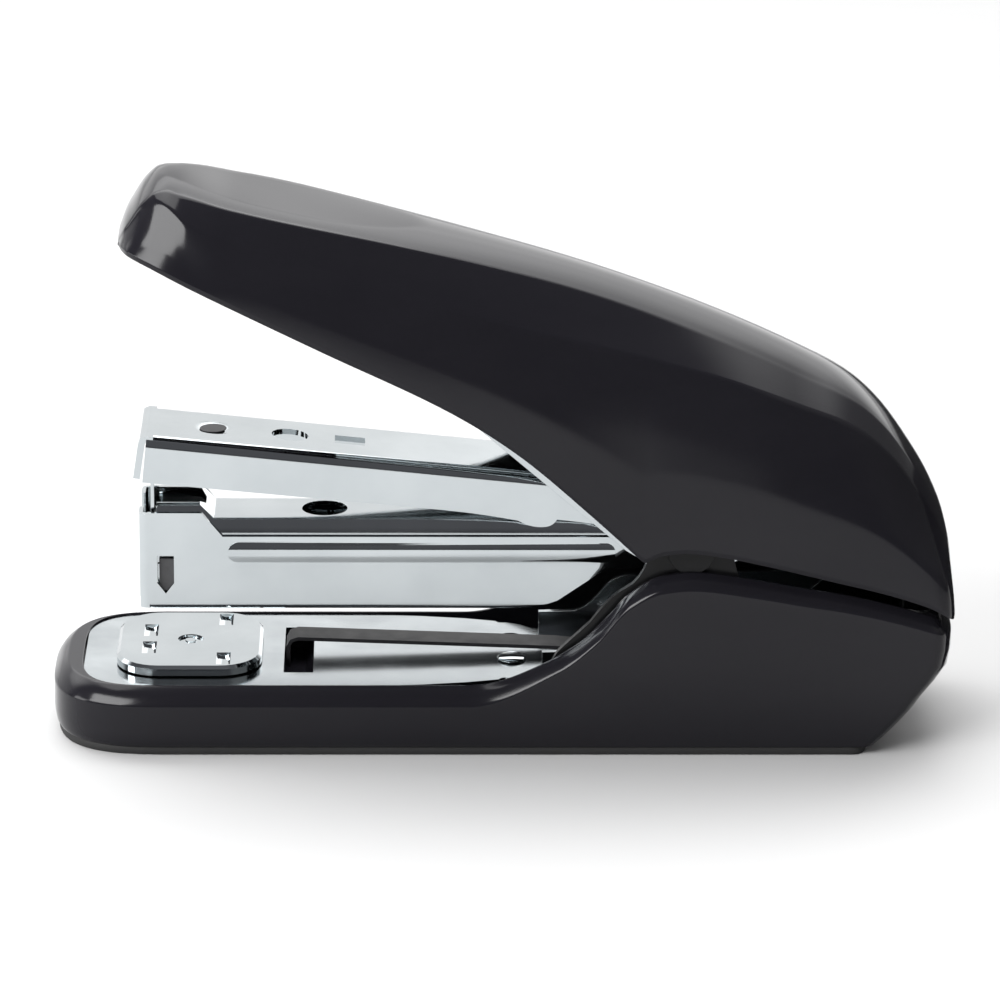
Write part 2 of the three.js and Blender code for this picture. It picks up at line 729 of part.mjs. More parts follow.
function anvil() {
  const body = join(upwards(anvilPlan(0), anvilBottom, anvilTop - anvilEdge), anvilTopEdge());
  const hollow = upwards(anvilPlan(anvilThickness), anvilBottom - 1, anvilTop - anvilThickness);
  const pressed = [closingRow, pinningRow].flatMap((row) => [groove(row, -1), groove(row, 1)]);
  const rivetRing = cut(rodUp(2.1, anvilTop - 0.4, anvilTop + 1, anvilX),
    rodUp(0.9, 0, anvilTop - 0.15, anvilX, 0, 12));
  const plate = join(cut(body, hollow, ...pressed, rivetRing), anvilPost());
  const clipBottom = clipHeight + 0.1;
  const clip = cut(
    rodUp(anvilPostRadius + 1.8, clipBottom, clipBottom + clipThickness, anvilX),
    boreUp(anvilPostRadius - 0.5, anvilX), box(anvilX, anvilX + 6, -1, 1, 0, 20));
  return [piece('anvil_plate', plate, chrome), piece('anvil_clip', clip, springSteel)];
}

// Dished washer that presses the anvil's clip down, between the clip and the plate.
function anvilSpring() {
  const low = clipHeight + clipThickness + 0.25;
  const high = deckHeight - fit;
  const inner = anvilPostRadius + fit;
  const profile = [[inner, high - 0.4], [inner + 3, low], [inner + 3, low + 0.4], [inner, high]];
  const geometry = turned([...profile, profile[0]], 16);
  geometry.translate(anvilX, 0, 0);
  return piece('anvil_spring', toSolid(geometry), springSteel);
}

// ---------------------------------------------------------------- magazine

// Side view of the track: deep belly, stepped nose, ramp up to a slim tail with a pivot lug.
function trackSide() {
  const shape = new THREE.Shape();
  shape.moveTo(trackFrontX, trackBottom);
  shape.lineTo(-1, trackBottom);
  shape.quadraticCurveTo(5.5, trackBottom + 0.1, 9, trackBottom + 1.6);
  shape.lineTo(17, tailBottom);
  shape.lineTo(mainPivotX - lugRadius - 1.5, tailBottom);
  shape.lineTo(mainPivotX - lugRadius * 0.8, mainPivotZ - lugRadius * 0.6);
  shape.absarc(mainPivotX, mainPivotZ, lugRadius, Math.PI * 1.2, Math.PI * 0.76, false);
  shape.lineTo(mainPivotX - 6, trackTop);
  shape.lineTo(trackFrontX + 13.5, trackTop);
  shape.lineTo(trackFrontX + 10.2, trackFrontTop);
  shape.lineTo(trackFrontX, trackFrontTop);
  return shape;
}

const slotFrontX = trackFrontX + 2.9; // window that shows how many staples are left
const slotLength = 2.7;
const slotTip = trackBottom + 2.75;
const slotHeight = 6.5;
const slotPoint = 1.8; // height of its pointed lower end

function windowSlot() {
  const [x0, x1] = [slotFrontX, slotFrontX + slotLength];
  return acrossY(shapeFrom([
    [x0, slotTip + slotPoint], [(x0 + x1) / 2, slotTip], [x1, slotTip + slotPoint],
    [x1, slotTip + slotHeight], [x0, slotTip + slotHeight],
  ]), 2 * trackHalfWidth + 4);
}

const beadFrontX = trackFrontX + 14.3;
const beadRearX = 18.3;

// Pressed bead: a shallow round ridge along the outside of a wall, with round ends.
function bead(side) {
  const [x0, x1] = [beadFrontX, beadRearX];
  const z = trackTop - 2.7;
  const half = beadHeight / 2;
  const ridge = new THREE.Shape();
  const face = trackHalfWidth - trackWall / 2;
  ridge.moveTo(side * face, z - half);
  ridge.lineTo(side * trackHalfWidth, z - half);
  ridge.quadraticCurveTo(side * (trackHalfWidth + 2 * beadRelief), z, side * trackHalfWidth, z + half);
  ridge.lineTo(side * face, z + half);
  const stadium = new THREE.Shape();
  stadium.moveTo(x0 + half, z - half);
  stadium.lineTo(x1 - half, z - half);
  stadium.absarc(x1 - half, z, half, -Math.PI / 2, Math.PI / 2);
  stadium.absarc(x0 + half, z, half, Math.PI / 2, 1.5 * Math.PI);
  return alongX(ridge, x0, x1).intersect(acrossY(stadium, 2 * trackHalfWidth + 4));
}

const railRivetXs = { front: -40, rear: -4 };
const railRivetRadius = 1;

const noseTabInner = 3.4; // half of the gap between the two nose tabs

// Tab at the nose: a wall turned inward in a round bend, so that it half closes the front.
function noseTab(side) {
  const straight = 0.3;
  const path = (inset) => {
    const line = new THREE.Path();
    const face = trackHalfWidth - inset;
    line.moveTo(trackFrontX + trackNoseBend + straight, side * face);
    line.lineTo(trackFrontX + trackNoseBend, side * face);
    line.quadraticCurveTo(trackFrontX + inset, side * face,
      trackFrontX + inset, side * (trackHalfWidth - trackNoseBend));
    line.lineTo(trackFrontX + inset, side * noseTabInner);
    return line.getPoints(4);
  };
  const plan = new THREE.Shape([...path(0), ...path(trackWall).reverse()]);
  return upwards(plan, trackBottom + 0.3, trackFrontTop - 0.1);
}

function magazineTrack() {
  const bend = 1.1;
  const wallFrontX = trackFrontX + trackNoseBend + 0.1;
  const tailX = 14; // the raised belly ends here
  const tailRearX = mainPivotX + 10;
  const belly = alongX(
    channelShape(trackHalfWidth, trackWall, trackBottom, trackFrontTop, bend), wallFrontX, tailX);
  const tail = alongX(
    channelShape(trackHalfWidth, trackWall, tailBottom, trackFrontTop, bend), tailX, tailRearX);
  const innerHalf = trackHalfWidth - trackWall;
  const skirt = cut(
    box(tailX, tailRearX, -trackHalfWidth, trackHalfWidth, trackBottom - 1, tailBottom + bend),
    box(tailX - 1, tailRearX + 1, -innerHalf, innerHalf, trackBottom - 2, trackFrontTop));
  const folded = join(belly, tail, skirt);
  const trimmed = folded.intersect(acrossY(trackSide(), 2 * trackHalfWidth + 2));
  const cuts = [
    windowSlot(),
    box(trackFrontX - 1, railFrontX + 0.2, -innerHalf, innerHalf, trackBottom - 1, trackBottom + 2),
    boreAcross(mainPinRadius + fit, mainPivotX, mainPivotZ),
    box(mainPivotX - 8, mainPivotX + 6, -innerHalf, innerHalf, 20, 40),
  ];
  const body = join(trimmed, bead(-1), bead(1), noseTab(-1), noseTab(1));
  return piece('magazine_track', cut(body, ...cuts, ...railRivetBore()), chrome);
}

// Front view of the cover: an inverted channel whose sides lean in towards a flat top.
function coverShape() {
  const bend = 0.5;
  const leanBottom = coverTop - 2.4;
  const half = (inset) => {
    const face = coverHalfWidth - inset;
    const top = coverTop - inset;
    const path = new THREE.Path();
    path.moveTo(face, 20);
    path.lineTo(face, leanBottom);
    path.lineTo(face - coverShoulder + 0.1, top - bend);
    path.quadraticCurveTo(face - coverShoulder, top, face - coverShoulder - bend, top);
    return path.getPoints(2);
  };
  const mirrored = (points) => points.map((p) => new THREE.Vector2(-p.x, p.y));
  const [outer, inner] = [half(0), half(coverWall)];
  return new THREE.Shape([
    ...outer, ...mirrored(outer).reverse(), ...mirrored(inner), ...inner.reverse(),
  ]);
}

const coverStepX = coverFrontX + 7; // the cover's nose ends here and a ramp leads down
const coverStepLength = 2.3;

// The cover's sheet: a raised nose, a ramp that is the same section sheared, and a level run.
function coverSheet(rearX) {
  const raised = new THREE.Matrix4().makeTranslation(0, 0, coverNoseRise);
  const rampRearX = coverStepX + coverStepLength;
  const fall = -coverNoseRise / coverStepLength;
  const ramp = new THREE.Matrix4().set(
    1, 0, 0, 0,
    0, 1, 0, 0,
    fall, 0, 1, -fall * rampRearX,
    0, 0, 0, 1);
  return join(
    alongX(coverShape(), coverFrontX, coverStepX, raised),
    alongX(coverShape(), coverStepX, rampRearX, ramp),
    alongX(coverShape(), rampRearX, rearX));
}

// Cover over the staples, with a round hole and a pointed notch in its raised nose.
function magazineCover() {
  const rearX = mainPivotX + lugRadius - 0.4;
  const folded = coverSheet(rearX);
  const side = new THREE.Shape();
  side.moveTo(coverFrontX, coverBottom);
  side.lineTo(mainPivotX - lugRadius - 2, coverBottom);
  side.lineTo(mainPivotX - lugRadius * 0.7, mainPivotZ - lugRadius * 0.65);
  side.absarc(mainPivotX, mainPivotZ, lugRadius - 0.3, Math.PI * 1.25, Math.PI * 2.2, false);
  side.lineTo(mainPivotX - 1, coverTop + 1);
  side.lineTo(coverStepX + coverStepLength, coverTop + coverNoseRise + 1);
  side.lineTo(coverFrontX, coverTop + coverNoseRise + 1);
  const coverTailX = mainPivotX - 20; // the cover is two bare walls from here back
  const insideHalf = coverHalfWidth - coverWall;
  const notchTip = coverStepX + 0.9;
  const notchHalf = 3.8;
  const notch = upwards(shapeFrom([
    [coverFrontX - 1, -notchHalf], [coverStepX - 0.2, -notchHalf], [notchTip, -1.6],
    [notchTip, 1.6], [coverStepX - 0.2, notchHalf], [coverFrontX - 1, notchHalf],
  ]), coverTop - coverWall - 0.2, coverTop + coverNoseRise + 1);
  const cuts = [
    notch,
    boreUp(coverHoleRadius, coverHoleX, 0, 24),
    boreAcross(mainPinRadius + fit, mainPivotX, mainPivotZ),
    box(coverTailX, rearX + 1, -insideHalf + 0.3, insideHalf - 0.3, 32, coverTop + 1),
    box(coverTailX, rearX + 1, -insideHalf, insideHalf, 20, coverTop - 1.5),
  ];
  const body = folded.intersect(acrossY(side, 2 * coverHalfWidth + 2));
  return piece('magazine_cover', cut(body, ...cuts), chrome);
}

// Upright channel that the staples straddle, riveted through the floor of the track.
const railBottom = trackBottom + trackWall + fit;

function railRivetBore() {
  return Object.values(railRivetXs).map((x) => boreUp(railRivetRadius + fit, x));
}

function stapleRail() {
  const folded = alongX(
    channelShape(railHalfWidth, railWall, railBottom, railTop, 0.8), railFrontX, railRearX);
  return piece('staple_rail', cut(folded, ...railRivetBore()), chrome);
}

function railRivets() {
  const headBottom = railBottom + railWall + 0.1;
  return Object.entries(railRivetXs).map(([place, x]) => piece(
    `rail_rivet_${place}`,
    join(rodUp(railRivetRadius, trackBottom + 0.05, headBottom + 0.2, x),
      rodUp(railRivetRadius + 0.9, headBottom, headBottom + 0.6, x)),
    zincSteel));
}

// Plate between the nose tabs, which closes the front and guides the blade past the rail.
function frontGuide() {
  const half = noseTabInner - fit;
  const x0 = trackFrontX + 0.05;
  const face = box(x0, x0 + trackWall, -half, half, trackBottom + 0.05, trackTop);
  const notch = box(x0 - 1, x0 + 2, -2, 2, trackTop - 1.6, trackTop + 1);
  return piece('front_guide', cut(face, notch), chrome);
}

function pusherGuide() {
  const stopHalf = coverHalfWidth - coverShoulder - coverWall - fit;
  const stopTop = coverTop - coverWall - fit;
  const stop = cut(box(rodStopX, rodStopX + 1, -stopHalf, stopHalf, railTop + fit, stopTop),
    rodAlong(rodRadius + 0.1, rodStopX - 1, rodStopX + 2, 0, rodHeight));
  const rod = join(rodAlong(rodRadius, railFrontX + 1, rodStopX + 1.6, 0, rodHeight),
    rodAlong(rodRadius + 0.8, rodStopX + 1.2, rodStopX + 1.8, 0, rodHeight));
  const turns = 13;
  const perTurn = 6;
  const frontX = railFrontX + pusherLength + 1;
  const rearX = rodStopX - 0.4 - springWire / 2;
  const points = [];
  for (let i = 0; i <= turns * perTurn; i += 1) {
    const angle = 2 * Math.PI * i / perTurn;
    const radius = rodRadius + 1;
    points.push(new THREE.Vector3(frontX + (rearX - frontX) * i / (turns * perTurn),
      radius * Math.cos(angle), rodHeight + radius * Math.sin(angle)));
  }
  return [
    piece('rod_stop', stop, zincSteel),
    piece('pusher_rod', rod, zincSteel),
    piece('pusher_spring', wire(points, springWire / 2, turns * perTurn, 4), springSteel),
  ];
}

// Saddle that straddles the rail behind the staples and slides on the rod.
function staplePusher() {
  const x0 = railFrontX + fit;
  const x1 = x0 + pusherLength;
  const saddleHalf = trackHalfWidth - trackWall - 0.2;
  const crown = railTop + fit;
  const saddle = box(x0, x1, -saddleHalf, saddleHalf, trackBottom + 3, crown + 0.75);
  const straddle = box(x0 - 1, x1 + 1, -railHalfWidth - 0.15, railHalfWidth + 0.15, 10, crown);
  const block = box(x0, x1, -4, 4, crown, rodHeight + 2.6);
  const bore = rodAlong(rodRadius + fit, x0 - 1, x1 + 1, 0, rodHeight);
  return piece('staple_pusher', cut(join(cut(saddle, straddle), block), bore), greyPlastic);
}

// ---------------------------------------------------------------- driver arm

const armSlope = THREE.MathUtils.degToRad(armSlopeDegrees);

function armTopAt(x) {
  return armFrontTop - Math.tan(armSlope) * (x - armFrontX);
}

function armUnderside(x) {
  return armTopAt(x) - armWeb / Math.cos(armSlope);
}

// Placement that tilts what is drawn level, with its top at z = 0, onto the arm's top line.
const ontoArm = new THREE.Matrix4().makeTranslation(armFrontX, 0, armFrontTop).multiply(
  new THREE.Matrix4().makeRotationY(armSlope));

const tabX = 6.4; // tab on the lower edge of each wall

function armSide() {
  const shape = new THREE.Shape();
  const edge = (x) => armTopAt(x) - armDepth;
  shape.moveTo(armFrontX - 2, edge(armFrontX));
  shape.lineTo(tabX - 16, edge(tabX - 16));
  shape.quadraticCurveTo(tabX - 10, edge(tabX - 10), tabX - 4, edge(tabX) - 0.2);
  shape.quadraticCurveTo(tabX - 2, edge(tabX) - 1.4, tabX, edge(tabX) - 1.3);
  shape.quadraticCurveTo(tabX + 1.6, edge(tabX) - 1.3, tabX + 2.3, edge(tabX));
  shape.lineTo(mainPivotX - 40, edge(mainPivotX - 40));
  shape.lineTo(mainPivotX - lugRadius - 4, mainPivotZ + 2.4);
  shape.lineTo(mainPivotX - lugRadius * 0.8, mainPivotZ - lugRadius * 0.6);
  shape.absarc(mainPivotX, mainPivotZ, lugRadius, Math.PI * 1.2, Math.PI * 2.15, false);
  shape.lineTo(armRearX, 60);
  shape.lineTo(armFrontX - 2, 60);
  return shape;
}

const armCornerCut = 1.4; // the walls start this far behind the nose
const flangeLean = 0.85; // how far the nose flange leans forward over its height

// Flange at the nose: the web bent down, leaning forward to pass in front of the magazine.
function noseFlange() {
  const half = armWeb / 2;
  const level = (x) => armTopAt(x) - half / Math.cos(armSlope);
  const outerX = armFrontX + half;
  const bottom = armFrontTop - armDepth + 0.2;
  const centre = [
    [armFrontX + armCornerCut + 1, level(armFrontX + armCornerCut + 1)],
    [outerX + 0.7, level(outerX + 0.7)], [outerX + 0.2, level(outerX) - 0.25],
    [outerX, level(outerX) - 0.9], [outerX - flangeLean, bottom],
  ];
  return acrossY(stripShape(centre, armWeb), 2 * (armHalfWidth - 0.6));
}

const armHoleX = -34.4;
const armHoleRadius = 3;
const armSlotX = -24.7;
const armSlotLength = 4.9;
const armSlotWidth = 4;
const bladeRivetX = -46.8;
const bladeRivetRadius = 1.6;
const dimpleRadius = 3.3; // shallow round recess that the rivet's head lies in
const dimpleDepth = 0.5;

// The recess round the blade's rivet: a flat floor with a conical edge.
function rivetDimple() {
  const top = armTopAt(bladeRivetX);
  const geometry = turned([
    [0, -dimpleDepth], [dimpleRadius - 1.2, -dimpleDepth], [dimpleRadius, 0], [dimpleRadius, 2],
    [0, 2],
  ], 24);
  geometry.rotateY(armSlope);
  geometry.translate(bladeRivetX, 0, top);
  return toSolid(geometry);
}

function driverArm() {
  const length = armRearX - armFrontX + 6;
  const folded = alongX(
    channelShape(armHalfWidth, armWall, 0, -40, armBend), armCornerCut, length, ontoArm);
  const cuts = [
    boreUp(armHoleRadius, armHoleX),
    box(armSlotX - armSlotLength / 2, armSlotX + armSlotLength / 2,
      -armSlotWidth / 2, armSlotWidth / 2, 0, beyond),
    boreUp(bladeRivetRadius + fit, bladeRivetX),
    rivetDimple(),
    boreAcross(mainPinRadius + fit, mainPivotX, mainPivotZ),
  ];
  const body = join(folded.intersect(acrossY(armSide(), 2 * armHalfWidth + 2)), noseFlange());
  return piece('driver_arm', cut(body, ...cuts), chrome);
}

// Blade bent from strip: it hangs down at the nose and is riveted under the arm's web.
function driverBlade() {
  const under = (x) => armUnderside(x) - fit - bladeThickness / 2;
  const rearX = bladeRivetX + 3.5;
  const centre = [
    [bladeX, bladeTip], [bladeX, under(bladeX) - 1.4], [bladeX + 0.35, under(bladeX) - 0.5],
    [bladeX + 1.2, under(bladeX + 1.2)], [rearX, under(rearX)],
  ];
  const blade = acrossY(stripShape(centre, bladeThickness), 2 * bladeHalfWidth).subtract(
    boreUp(bladeRivetRadius + fit, bladeRivetX));
  const top = armTopAt(bladeRivetX);
  const rivet = join(
    rodUp(bladeRivetRadius, under(bladeRivetX) - bladeThickness, top - 0.15, bladeRivetX),
    rodUp(dimpleRadius - 1.1, top - dimpleDepth + 0.3, top - 0.05, bladeRivetX, 0, 20));
  return [piece('driver_blade', blade, chrome), piece('blade_rivet', rivet, chrome)];
}

// ---------------------------------------------------------------- handle

// Cross-sections of the cover, nose to heel. Each has a crowned top between two shoulders, a
// crease below each shoulder, a low crease on each side, and the hem. The insets say how far
// in from the body's widest these lines run, and the drops how far down from the one above.
const crownHeight = heightThrough([
  [handleNoseX, 82.9], [-60.6, 84.9], [-59.4, 87], [-57.3, 90.2], [-55.2, 92], [-53.2, 92.5],
  [-43, 90.6], [-26.3, 87], [-7.1, 82.4], [12.1, 77.1], [31.5, 70.2], [51.1, 61.3],
  [56.1, 58.2], [61.1, 53.6], [66.2, 46.7], [70.4, 39.3], [72.4, 33], [handleHeelX, 26],
]);
const shoulderInset = heightThrough([
  [handleNoseX, 14.75], [-60, 11.35], [-58, 11.15], [-53.5, 11.35], [-51, 9.75], [-45, 7.75],
  [-36, 6.85], [-18, 8.45], [0, 10.25], [20, 11.15], [50, 10.75], [62, 10.95], [68, 11.55],
  [handleHeelX, 13.75],
]);
const topDrop = heightThrough([
  [handleNoseX, 0.6], [-56, 0.9], [-50, 1.6], [-36, 1.7], [0, 1.9], [46, 2.2], [60, 1.2], [68, 1],
]);
const creaseInset = heightThrough([
  [handleNoseX, 13.75], [-60, 9.35], [-57, 7.55], [-45, 5.15], [-27, 4.45], [0, 3.75],
  [38, 3.75], [51, 4.75], [58, 5.35], [63.3, 5.95], [68, 6.75], [71.5, 8.35],
  [handleHeelX, 12],
]);
const creaseDrop = heightThrough([
  [handleNoseX, 0.9], [-58, 3], [-50, 4.6], [-27, 6.2], [0, 7.2], [20, 5.8], [38, 3.9], [51, 3],
  [63, 2.4], [handleHeelX, 2],
]);
const sideInset = heightThrough([
  [handleNoseX, 13.25], [-60.6, 9.95], [-59.6, 7.75], [-57, 5.75], [-53, 4.15], [-45, 2.75],
  [-28, 1.45], [0, 0.65], [60, 0.65], [67, 0.75], [69.6, 1.35], [71.3, 2.75], [72.4, 5.1],
  [handleHeelX, 9.2],
]);
const hemInset = heightThrough([
  [handleNoseX, 12.75], [-60.6, 9.35], [-59.6, 7.15], [-57, 5.15], [-53, 3.75], [-45, 2.35],
  [-28, 0.85], [-5, 0], [68, 0], [70.4, 0.65], [71.7, 2.05], [72.5, 4.2], [handleHeelX, 8.2],
]);

const hemCornerX = 22.4; // where the open mouth meets the split line over the base
const hemCornerZ = 32.7;

// Bottom edge: a nearly straight mouth from the nose down to a corner, then the split line.
const hemHeight = heightThrough([
  [handleNoseX, 82], [-60, 81.7], [-57, 80.7], [-50, 77.5], [-28.3, 67.4], [-9, 58.2],
  [1.3, 51.6], [14.1, 40.6], [hemCornerX, hemCornerZ],
]);
const splitHeight = heightThrough([
  [hemCornerX, hemCornerZ], [25.4, 34.2], [29, 34.6], [35, 33.9], [41.2, 32.6], [53.5, 29.6],
  [60, 28], [66.5, 26], [69, 25], [71.5, 23.4], [handleHeelX, 22.2],
]);

function coverBottomAt(x) {
  return x < hemCornerX ? hemHeight(x) : splitHeight(x);
}

function coverStations() {
  const nose = [handleNoseX, -60.7, -60, -59, -57.8, -56.4, -54.8, -53.2, -51, -47, -41, -34];
  const waist = [];
  for (let x = -27; x < 20; x += 7) waist.push(x);
  const heel = [hemCornerX, 26, 30, 36, 42, 48, 53, 57, 61, 64.5, 67.5, 70, 71.6, 72.5, handleHeelX];
  return [...nose, ...waist, ...heel];
}

const dish = { x: -33, halfLength: 17, halfWidth: 9, depth: 1.1 };

// Finger dish: a shallow hollow pressed into the top near the nose.
function dishDepth(x, y) {
  const along = (x - dish.x) / dish.halfLength;
  const across = y / dish.halfWidth;
  const reach = along * along + across * across;
  return reach < 1 ? dish.depth * (1 - reach) ** 1.5 : 0;
}

function coverRing(x, wall) {
  const crown = crownHeight(x) - wall;
  const shoulderHalf = Math.max(bodyHalfWidth - shoulderInset(x) - wall * 0.6, 0.5);
  const shoulder = crown - topDrop(x);
  const creaseHalf = Math.max(bodyHalfWidth - creaseInset(x) - wall, 0.8);
  const crease = Math.min(crownHeight(x) - topDrop(x) - creaseDrop(x), shoulder - 0.2);
  const bottom = wall > 0 ? coverBottomAt(x) - 14 : coverBottomAt(x);
  const hemHalf = Math.max(bodyHalfWidth - hemInset(x) - wall, 1.2);
  const sideHalf = Math.max(bodyHalfWidth - sideInset(x) - wall, 1);
  const low = coverBottomAt(x);
  const side = low + (crease - low) * 0.42;
  const half = [
    [hemHalf, bottom],
    [sideHalf, side],
    [(sideHalf + creaseHalf) / 2 + 0.25, (side + crease) / 2],
    [creaseHalf, crease],
    [(creaseHalf + shoulderHalf) / 2 + 0.2, (crease + shoulder) / 2 + 0.1],
    [shoulderHalf, shoulder],
  ];
  const shares = wall > 0 ? [0.5, 0, -0.5] : [0.75, 0.5, 0.25, 0, -0.25, -0.5, -0.75];
  const top = shares.map((share) => {
    const y = share * shoulderHalf;
    const z = shoulder + topDrop(x) * (1 - share * share);
    return [y, z - (wall > 0 ? 0 : dishDepth(x, y))];
  });
  const near = half.map(([y, z]) => [-y, z]).reverse();
  return [...half, ...top, ...near].map(([y, z]) => new THREE.Vector3(x, y, z));
}

function coverSkin(rings) {
  return skin(rings, (i) => rings[0].length - 1 - i);
}

const coverScrewXs = { front: -8, rear: 28 };
const bossRadius = 3;
const coverScrewRadius = 1.2;
const coverScrewReach = 5; // how far a screw reaches up into its boss

function handleCover() {
  const stations = coverStations();
  const outer = coverSkin(stations.map((x) => coverRing(x, 0)));
  const insideStations = stations.filter((x, i) => (
    x > handleNoseX + 3.4 && x < handleHeelX - 2 && (i % 2 || x === hemCornerX)));
  const inner = coverSkin(insideStations.map((x) => coverRing(x, shellWall)));
  const bosses = Object.values(coverScrewXs).map((x) => cut(
    rodUp(bossRadius, frameTopAt(x - bossRadius) + fit, crownHeight(x) - 1, x),
    rodUp(coverScrewRadius + fit, 0, frameTopAt(x) + coverScrewReach + fit, x)));
  return piece('handle_cover', join(cut(outer, inner), ...bosses), blackPlastic);
}

// Top line of the steel frame inside the cover.
const frameTopAt = heightThrough([[-24, 71.4], [-10, 67.6], [20, 60], [44, 49], [51, 44]]);

function frameSide(inset) {
  const shape = new THREE.Shape();
  const top = [-24, -17, -10, 0, 10, 20, 32, 44, 51].map((x) => [x, frameTopAt(x) - inset]);
  shape.moveTo(top[0][0] - (inset ? 2 : 0), inset ? top[0][1] : 67.4);
  for (const [x, z] of top) shape.lineTo(x + (inset && x > 50 ? 4 : 0), z);
  if (inset) {
    shape.lineTo(55, 20);
    shape.lineTo(-26, 20);
    return shape;
  }
  shape.lineTo(51, 40);
  shape.lineTo(handlePivotX + 8, handlePivotZ - 2);
  shape.absarc(handlePivotX, handlePivotZ, 6, -0.2 * Math.PI, -0.62 * Math.PI, true);
  shape.lineTo(19.6, 33.4);
  shape.lineTo(-4, 53.7);
  shape.lineTo(-20, 64.2);
  return shape;
}

function handleFrame() {
  const outer = acrossY(frameSide(0), 2 * frameHalfWidth);
  const inner = acrossY(frameSide(frameThickness), 2 * (frameHalfWidth - frameThickness));
  const cuts = [
    boreAcross(handlePinRadius + fit, handlePivotX, handlePivotZ),
    boreAcross(rollerPinRadius + fit, rollerX, rollerZ),
  ];
  for (const x of Object.values(coverScrewXs)) cuts.push(boreUp(coverScrewRadius + fit, x));
  return piece('handle_frame', cut(outer, inner, ...cuts), chrome);
}

const rollerGap = 0.12;
const rollerZ = armTopAt(rollerX) + (rollerRadius + rollerGap) / Math.cos(armSlope);

function pressRoller() {
  const roller = rodAcross(
    rollerRadius, -rollerHalfLength, rollerHalfLength, rollerX, rollerZ, 24).subtract(
    boreAcross(rollerPinRadius + 0.1, rollerX, rollerZ));
  const pinHalf = frameHalfWidth + 0.5;
  const pin = rodAcross(rollerPinRadius, -pinHalf, pinHalf, rollerX, rollerZ);
  return [piece('press_roller', roller, zincSteel), piece('roller_pin', pin, zincSteel)];
}

function coverScrews() {
  return Object.entries(coverScrewXs).map(([place, x]) => {
    const headRadius = 2.6;
    const headTop = frameTopAt(x + headRadius) - frameThickness - fit;
    const head = rodUp(headRadius, headTop - 1.3, headTop, x);
    const shank = rodUp(coverScrewRadius, headTop - 0.1, frameTopAt(x) + coverScrewReach, x);
    return piece(`cover_screw_${place}`, join(head, shank), zincSteel);
  });
}

// ---------------------------------------------------------------- assembly

const stapler = new THREE.Group();
stapler.name = 'stapler';

function assembly(name, parts) {
  const group = new THREE.Group();
  group.name = name;
  group.add(...parts);
  stapler.add(group);
}

assembly('base', [
  baseHousing(), baseSole(), basePlate(), pivotBracket(), ...baseFasteners(), ...liftSpring(),
  ...pivotPins(), returnSpring(), anvilSpring(),
]);
assembly('anvil', anvil());
assembly('magazine', [
  magazineTrack(), magazineCover(), stapleRail(), ...railRivets(), frontGuide(), ...pusherGuide(),
]);
assembly('pusher', [staplePusher()]);
assembly('arm', [driverArm(), ...driverBlade()]);
assembly('handle', [handleCover(), handleFrame(), ...coverScrews(), ...pressRoller()]);

export default stapler;
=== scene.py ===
"""A black low-effort desktop stapler with a chromed mechanism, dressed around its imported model.

Shapes are worked out in millimetres, in the part's own frame (+X to the heel, +Z up), and turned
into metres when a mesh is made. Every surface is a grid of points: rows run along the piece from
the nose to the heel, or up its wall, and columns run across it or around it.
"""
import json
import math

import bmesh
import bpy
import numpy as np
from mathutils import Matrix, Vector


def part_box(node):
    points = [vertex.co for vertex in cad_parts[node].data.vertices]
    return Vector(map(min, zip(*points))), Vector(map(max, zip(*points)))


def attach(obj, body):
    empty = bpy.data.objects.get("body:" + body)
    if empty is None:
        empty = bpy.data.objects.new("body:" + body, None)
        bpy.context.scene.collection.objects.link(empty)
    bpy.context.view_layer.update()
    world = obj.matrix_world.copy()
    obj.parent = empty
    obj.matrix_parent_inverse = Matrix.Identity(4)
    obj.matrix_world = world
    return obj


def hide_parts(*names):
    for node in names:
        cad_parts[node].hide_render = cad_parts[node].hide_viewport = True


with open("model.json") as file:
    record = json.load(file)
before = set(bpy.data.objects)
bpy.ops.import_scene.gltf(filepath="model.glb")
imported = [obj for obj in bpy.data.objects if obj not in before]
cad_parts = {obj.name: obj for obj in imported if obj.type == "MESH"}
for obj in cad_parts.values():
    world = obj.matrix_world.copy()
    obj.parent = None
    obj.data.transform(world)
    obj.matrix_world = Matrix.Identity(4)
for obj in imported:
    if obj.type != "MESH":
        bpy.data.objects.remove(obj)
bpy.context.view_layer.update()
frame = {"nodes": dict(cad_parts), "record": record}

MM = 0.001
HARD_EDGE = math.radians(32)  # a moulding's edge sharper than this stays crisp


def box_mm(node):
    """Lowest and highest corner of a node, in millimetres."""
    low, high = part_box(node)
    return np.array(low) / MM, np.array(high) / MM


# ---------------------------------------------------------------- numbers shared by the surfaces

cover_low, cover_high = box_mm("handle_cover")
housing_low, housing_high = box_mm("base_housing")
plate_low, plate_high = box_mm("base_plate")
sole_low, sole_high = box_mm("base_sole")

HALF_WIDTH = housing_high[1]  # base and handle at their widest
NOSE_X = housing_low[0]
HEEL_X = housing_high[0]
SOLE_TOP = sole_high[2]
DECK = plate_low[2]  # shelf that the steel plate lies on
RIM_CREST = housing_high[2]


